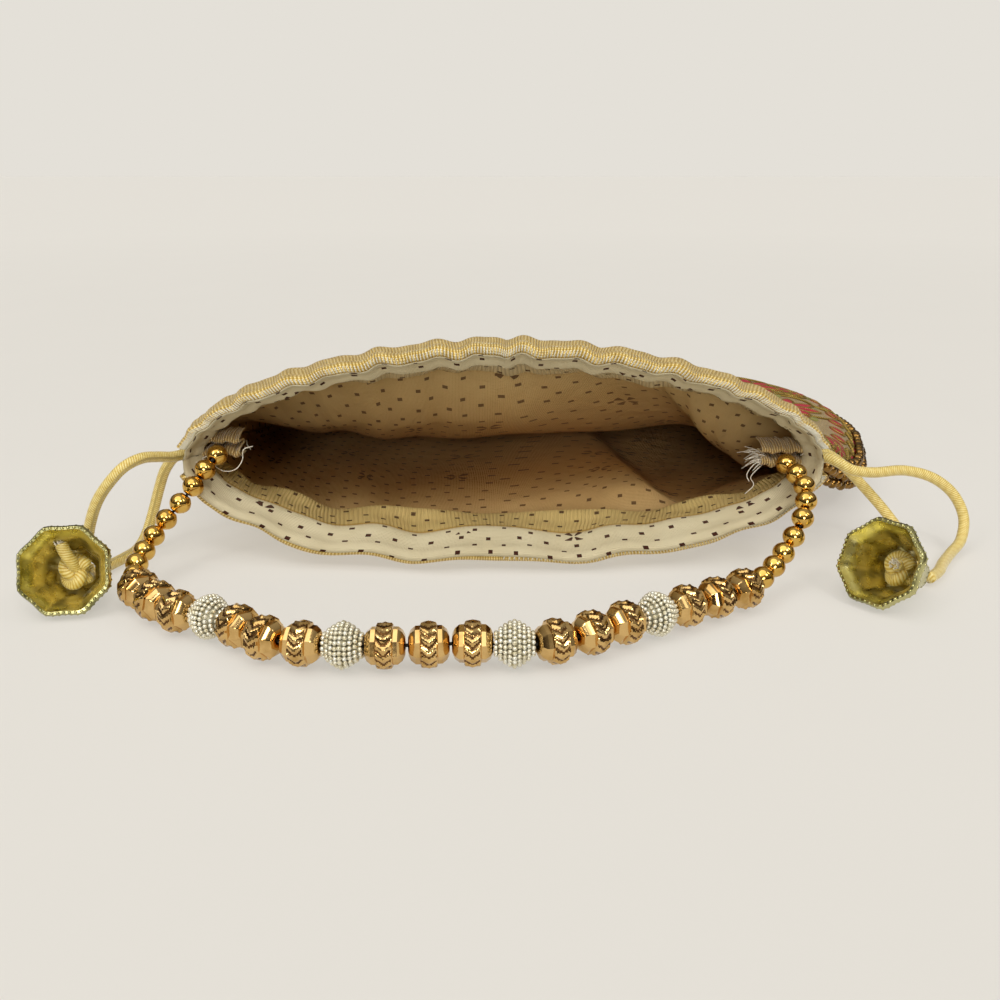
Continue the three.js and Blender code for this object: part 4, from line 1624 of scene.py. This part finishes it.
class POTLI_OT_bells(bpy.types.Operator):
    """Casts the two bells and ties the knots in front of and behind each"""

    bl_idname = "potli.bells"
    bl_label = "Bells and knots"

    def execute(self, context):
        for side, place in bell_places().items():
            cap = bell_cap()
            cap.data.transform(place)
            finished(cap, f"cast_bell_{side}", None, f"{side}_bell", "bell_metal", f"bell_{side}")
            inner = tube("inner", knot_line(2.2, 1.2, 5.0), 1.6 * MM, 12)
            neck = tube("neck", straight_line(0.2, 4, 6), 1.45 * MM, 12)
            line = catmull_rom([Vector(p) * MM for p in KNOT_TAILS[side]], 0.6 * MM)
            knot = joined(inner, neck, tube("tail", line, 1.6 * MM, 12))
            knot.data.transform(place)
            finished(knot, f"knot_in_bell_{side}", palette("cord"), "bag", "satin_cord", f"knot_{side}_inner")
            outer = tube("outer", knot_line(1.35, 0.7, -3.0), 1.05 * MM, 12)
            through = tube("through", straight_line(-3, -0.1, 5), 1.3 * MM, 12)
            stub = joined(outer, through)
            stub.data.transform(place)
            name = f"knot_behind_bell_{side}"
            finished(stub, name, palette("cord"), "bag", "satin_cord", f"knot_{side}_outer")
            wisps = Gathered()
            chance = random.Random(21 if side == "left" else 22)
            end, before = line[-1] / MM, line[-3] / MM
            along = (end - before).normalized()
            for _ in range(46):
                off = drawn(chance, (-1, 1), (-1, 1), (-1, 1))
                start = end - along * 0.4 + (off - along * off.dot(along)) * 0.9
                tip = start + along * chance.uniform(0.9, 2.0) + off * 0.5
                bend = start.lerp(tip, 0.5) + off * 0.12
                wisps.add_line([place @ (p * MM) for p in (start, bend, tip)], 0.12 * MM, 4)
            finished(wisps.build("wisps"), f"cut_end_{side}", palette("fray"), "bag", "satin_cord")
        return {"FINISHED"}


# ---- Stage --------------------------------------------------------------------------------------


class POTLI_OT_stage(bpy.types.Operator):
    """Lays a pale floor and lights the bag softly from above and in front"""

    bl_idname = "potli.stage"
    bl_label = "Stage"

    def execute(self, context):
        deselect()
        bpy.ops.mesh.primitive_plane_add(size=60, location=(0, 0, -0.0002))
        floor = context.object
        floor.name = "floor"
        bpy.ops.object.mode_set(mode="EDIT")
        bpy.ops.mesh.subdivide(number_cuts=6)
        bpy.ops.object.mode_set(mode="OBJECT")
        bpy.ops.object.transform_apply(location=True, rotation=False, scale=False)
        floor.data.materials.append(matt_floor())
        self.sun(context, "sky_light", 1.1, (18, -14, 0), 60)
        self.sun(context, "window_light", 0.65, (38, 26, 0), 16)
        self.panel(context, "left_window", (-0.45, -0.5, 0.5), (0.12, 0.24), 0.7)
        self.panel(context, "right_window", (0.5, -0.25, 0.55), (0.1, 0.26), 0.45)
        self.sun(context, "front_fill", 0.8, (76, 0, -3), 18)
        world = bpy.data.worlds.new("Studio air")
        context.scene.world = world
        world.use_nodes = True
        tree = world.node_tree
        air = tree.nodes["Background"]
        place = add_node(tree, "ShaderNodeTexCoord")
        part = add_node(tree, "ShaderNodeSeparateXYZ", {"Vector": place.outputs["Generated"]})
        heights = {0.0: "#6A5F52", 0.12: "#4A4036", 0.4: "#B4AFA6", 0.85: "#FFFAF0"}
        stops = [(height, linear(tone)) for height, tone in heights.items()]
        feed(tree, air, "Color", shaded(tree, part.outputs["Z"], stops))
        air.inputs["Strength"].default_value = 0.48
        seen = add_node(tree, "ShaderNodeBackground", {"Color": linear("#E4E0D8"), "Strength": 1.0})
        path = add_node(tree, "ShaderNodeLightPath")
        choice = {0: path.outputs["Is Camera Ray"], 1: air.outputs[0], 2: seen.outputs[0]}
        both = add_node(tree, "ShaderNodeMixShader", choice)
        feed(tree, tree.nodes["World Output"], "Surface", both.outputs[0])
        context.scene.view_settings.view_transform = "Standard"
        return {"FINISHED"}

    def sun(self, context, name, strength, tilt, softness):
        rotation = [math.radians(degrees) for degrees in tilt]
        bpy.ops.object.light_add(type="SUN", rotation=rotation, location=(0, 0, 2))
        light = context.object
        light.name = name
        light.data.energy = strength
        light.data.angle = math.radians(softness)
        light.data.color = (1, 0.99, 0.975)

    def panel(self, context, name, place, size, energy):
        bpy.ops.object.light_add(type="AREA", location=place)
        light = context.object
        light.name = name
        light.data.shape = "RECTANGLE"
        light.data.size, light.data.size_y = size
        light.data.energy = energy
        light.rotation_mode = "QUATERNION"
        light.rotation_quaternion = (Vector(place) - placed((0, 20, 10))).to_track_quat("Z", "Y")


# ---- Panel and registration ---------------------------------------------------------------------

STEPS = (
    POTLI_OT_camera,
    POTLI_OT_drawstrings,
    POTLI_OT_outer_cloth,
    POTLI_OT_lining,
    POTLI_OT_edge_stitches,
    POTLI_OT_embroidery,
    POTLI_OT_bead_trim,
    POTLI_OT_tabs,
    POTLI_OT_handle_beads,
    POTLI_OT_bells,
    POTLI_OT_stage,
)


class POTLI_PT_panel(bpy.types.Panel):
    """Lists the bag's pieces, sizes and colours"""

    bl_idname = "POTLI_PT_panel"
    bl_label = "Potli bag"
    bl_space_type = "VIEW_3D"
    bl_region_type = "UI"
    bl_category = "Potli bag"

    def draw(self, context):
        for group in (context.scene.potli_sizes, context.scene.potli_colours):
            for name in group.__annotations__:
                self.layout.prop(group, name)
        for step in STEPS:
            self.layout.operator(step.bl_idname)


CLASSES = (PotliSizes, PotliColours, *STEPS, POTLI_PT_panel)


def register():
    for cls in CLASSES:
        bpy.utils.register_class(cls)
    bpy.types.Scene.potli_sizes = bpy.props.PointerProperty(type=PotliSizes)
    bpy.types.Scene.potli_colours = bpy.props.PointerProperty(type=PotliColours)


def unregister():
    del bpy.types.Scene.potli_colours
    del bpy.types.Scene.potli_sizes
    for cls in reversed(CLASSES):
        bpy.utils.unregister_class(cls)


def main():
    register()
    for step in STEPS:
        group, name = step.bl_idname.split(".")
        getattr(getattr(bpy.ops, group), name)()


if __name__ == "__main__":
    main()
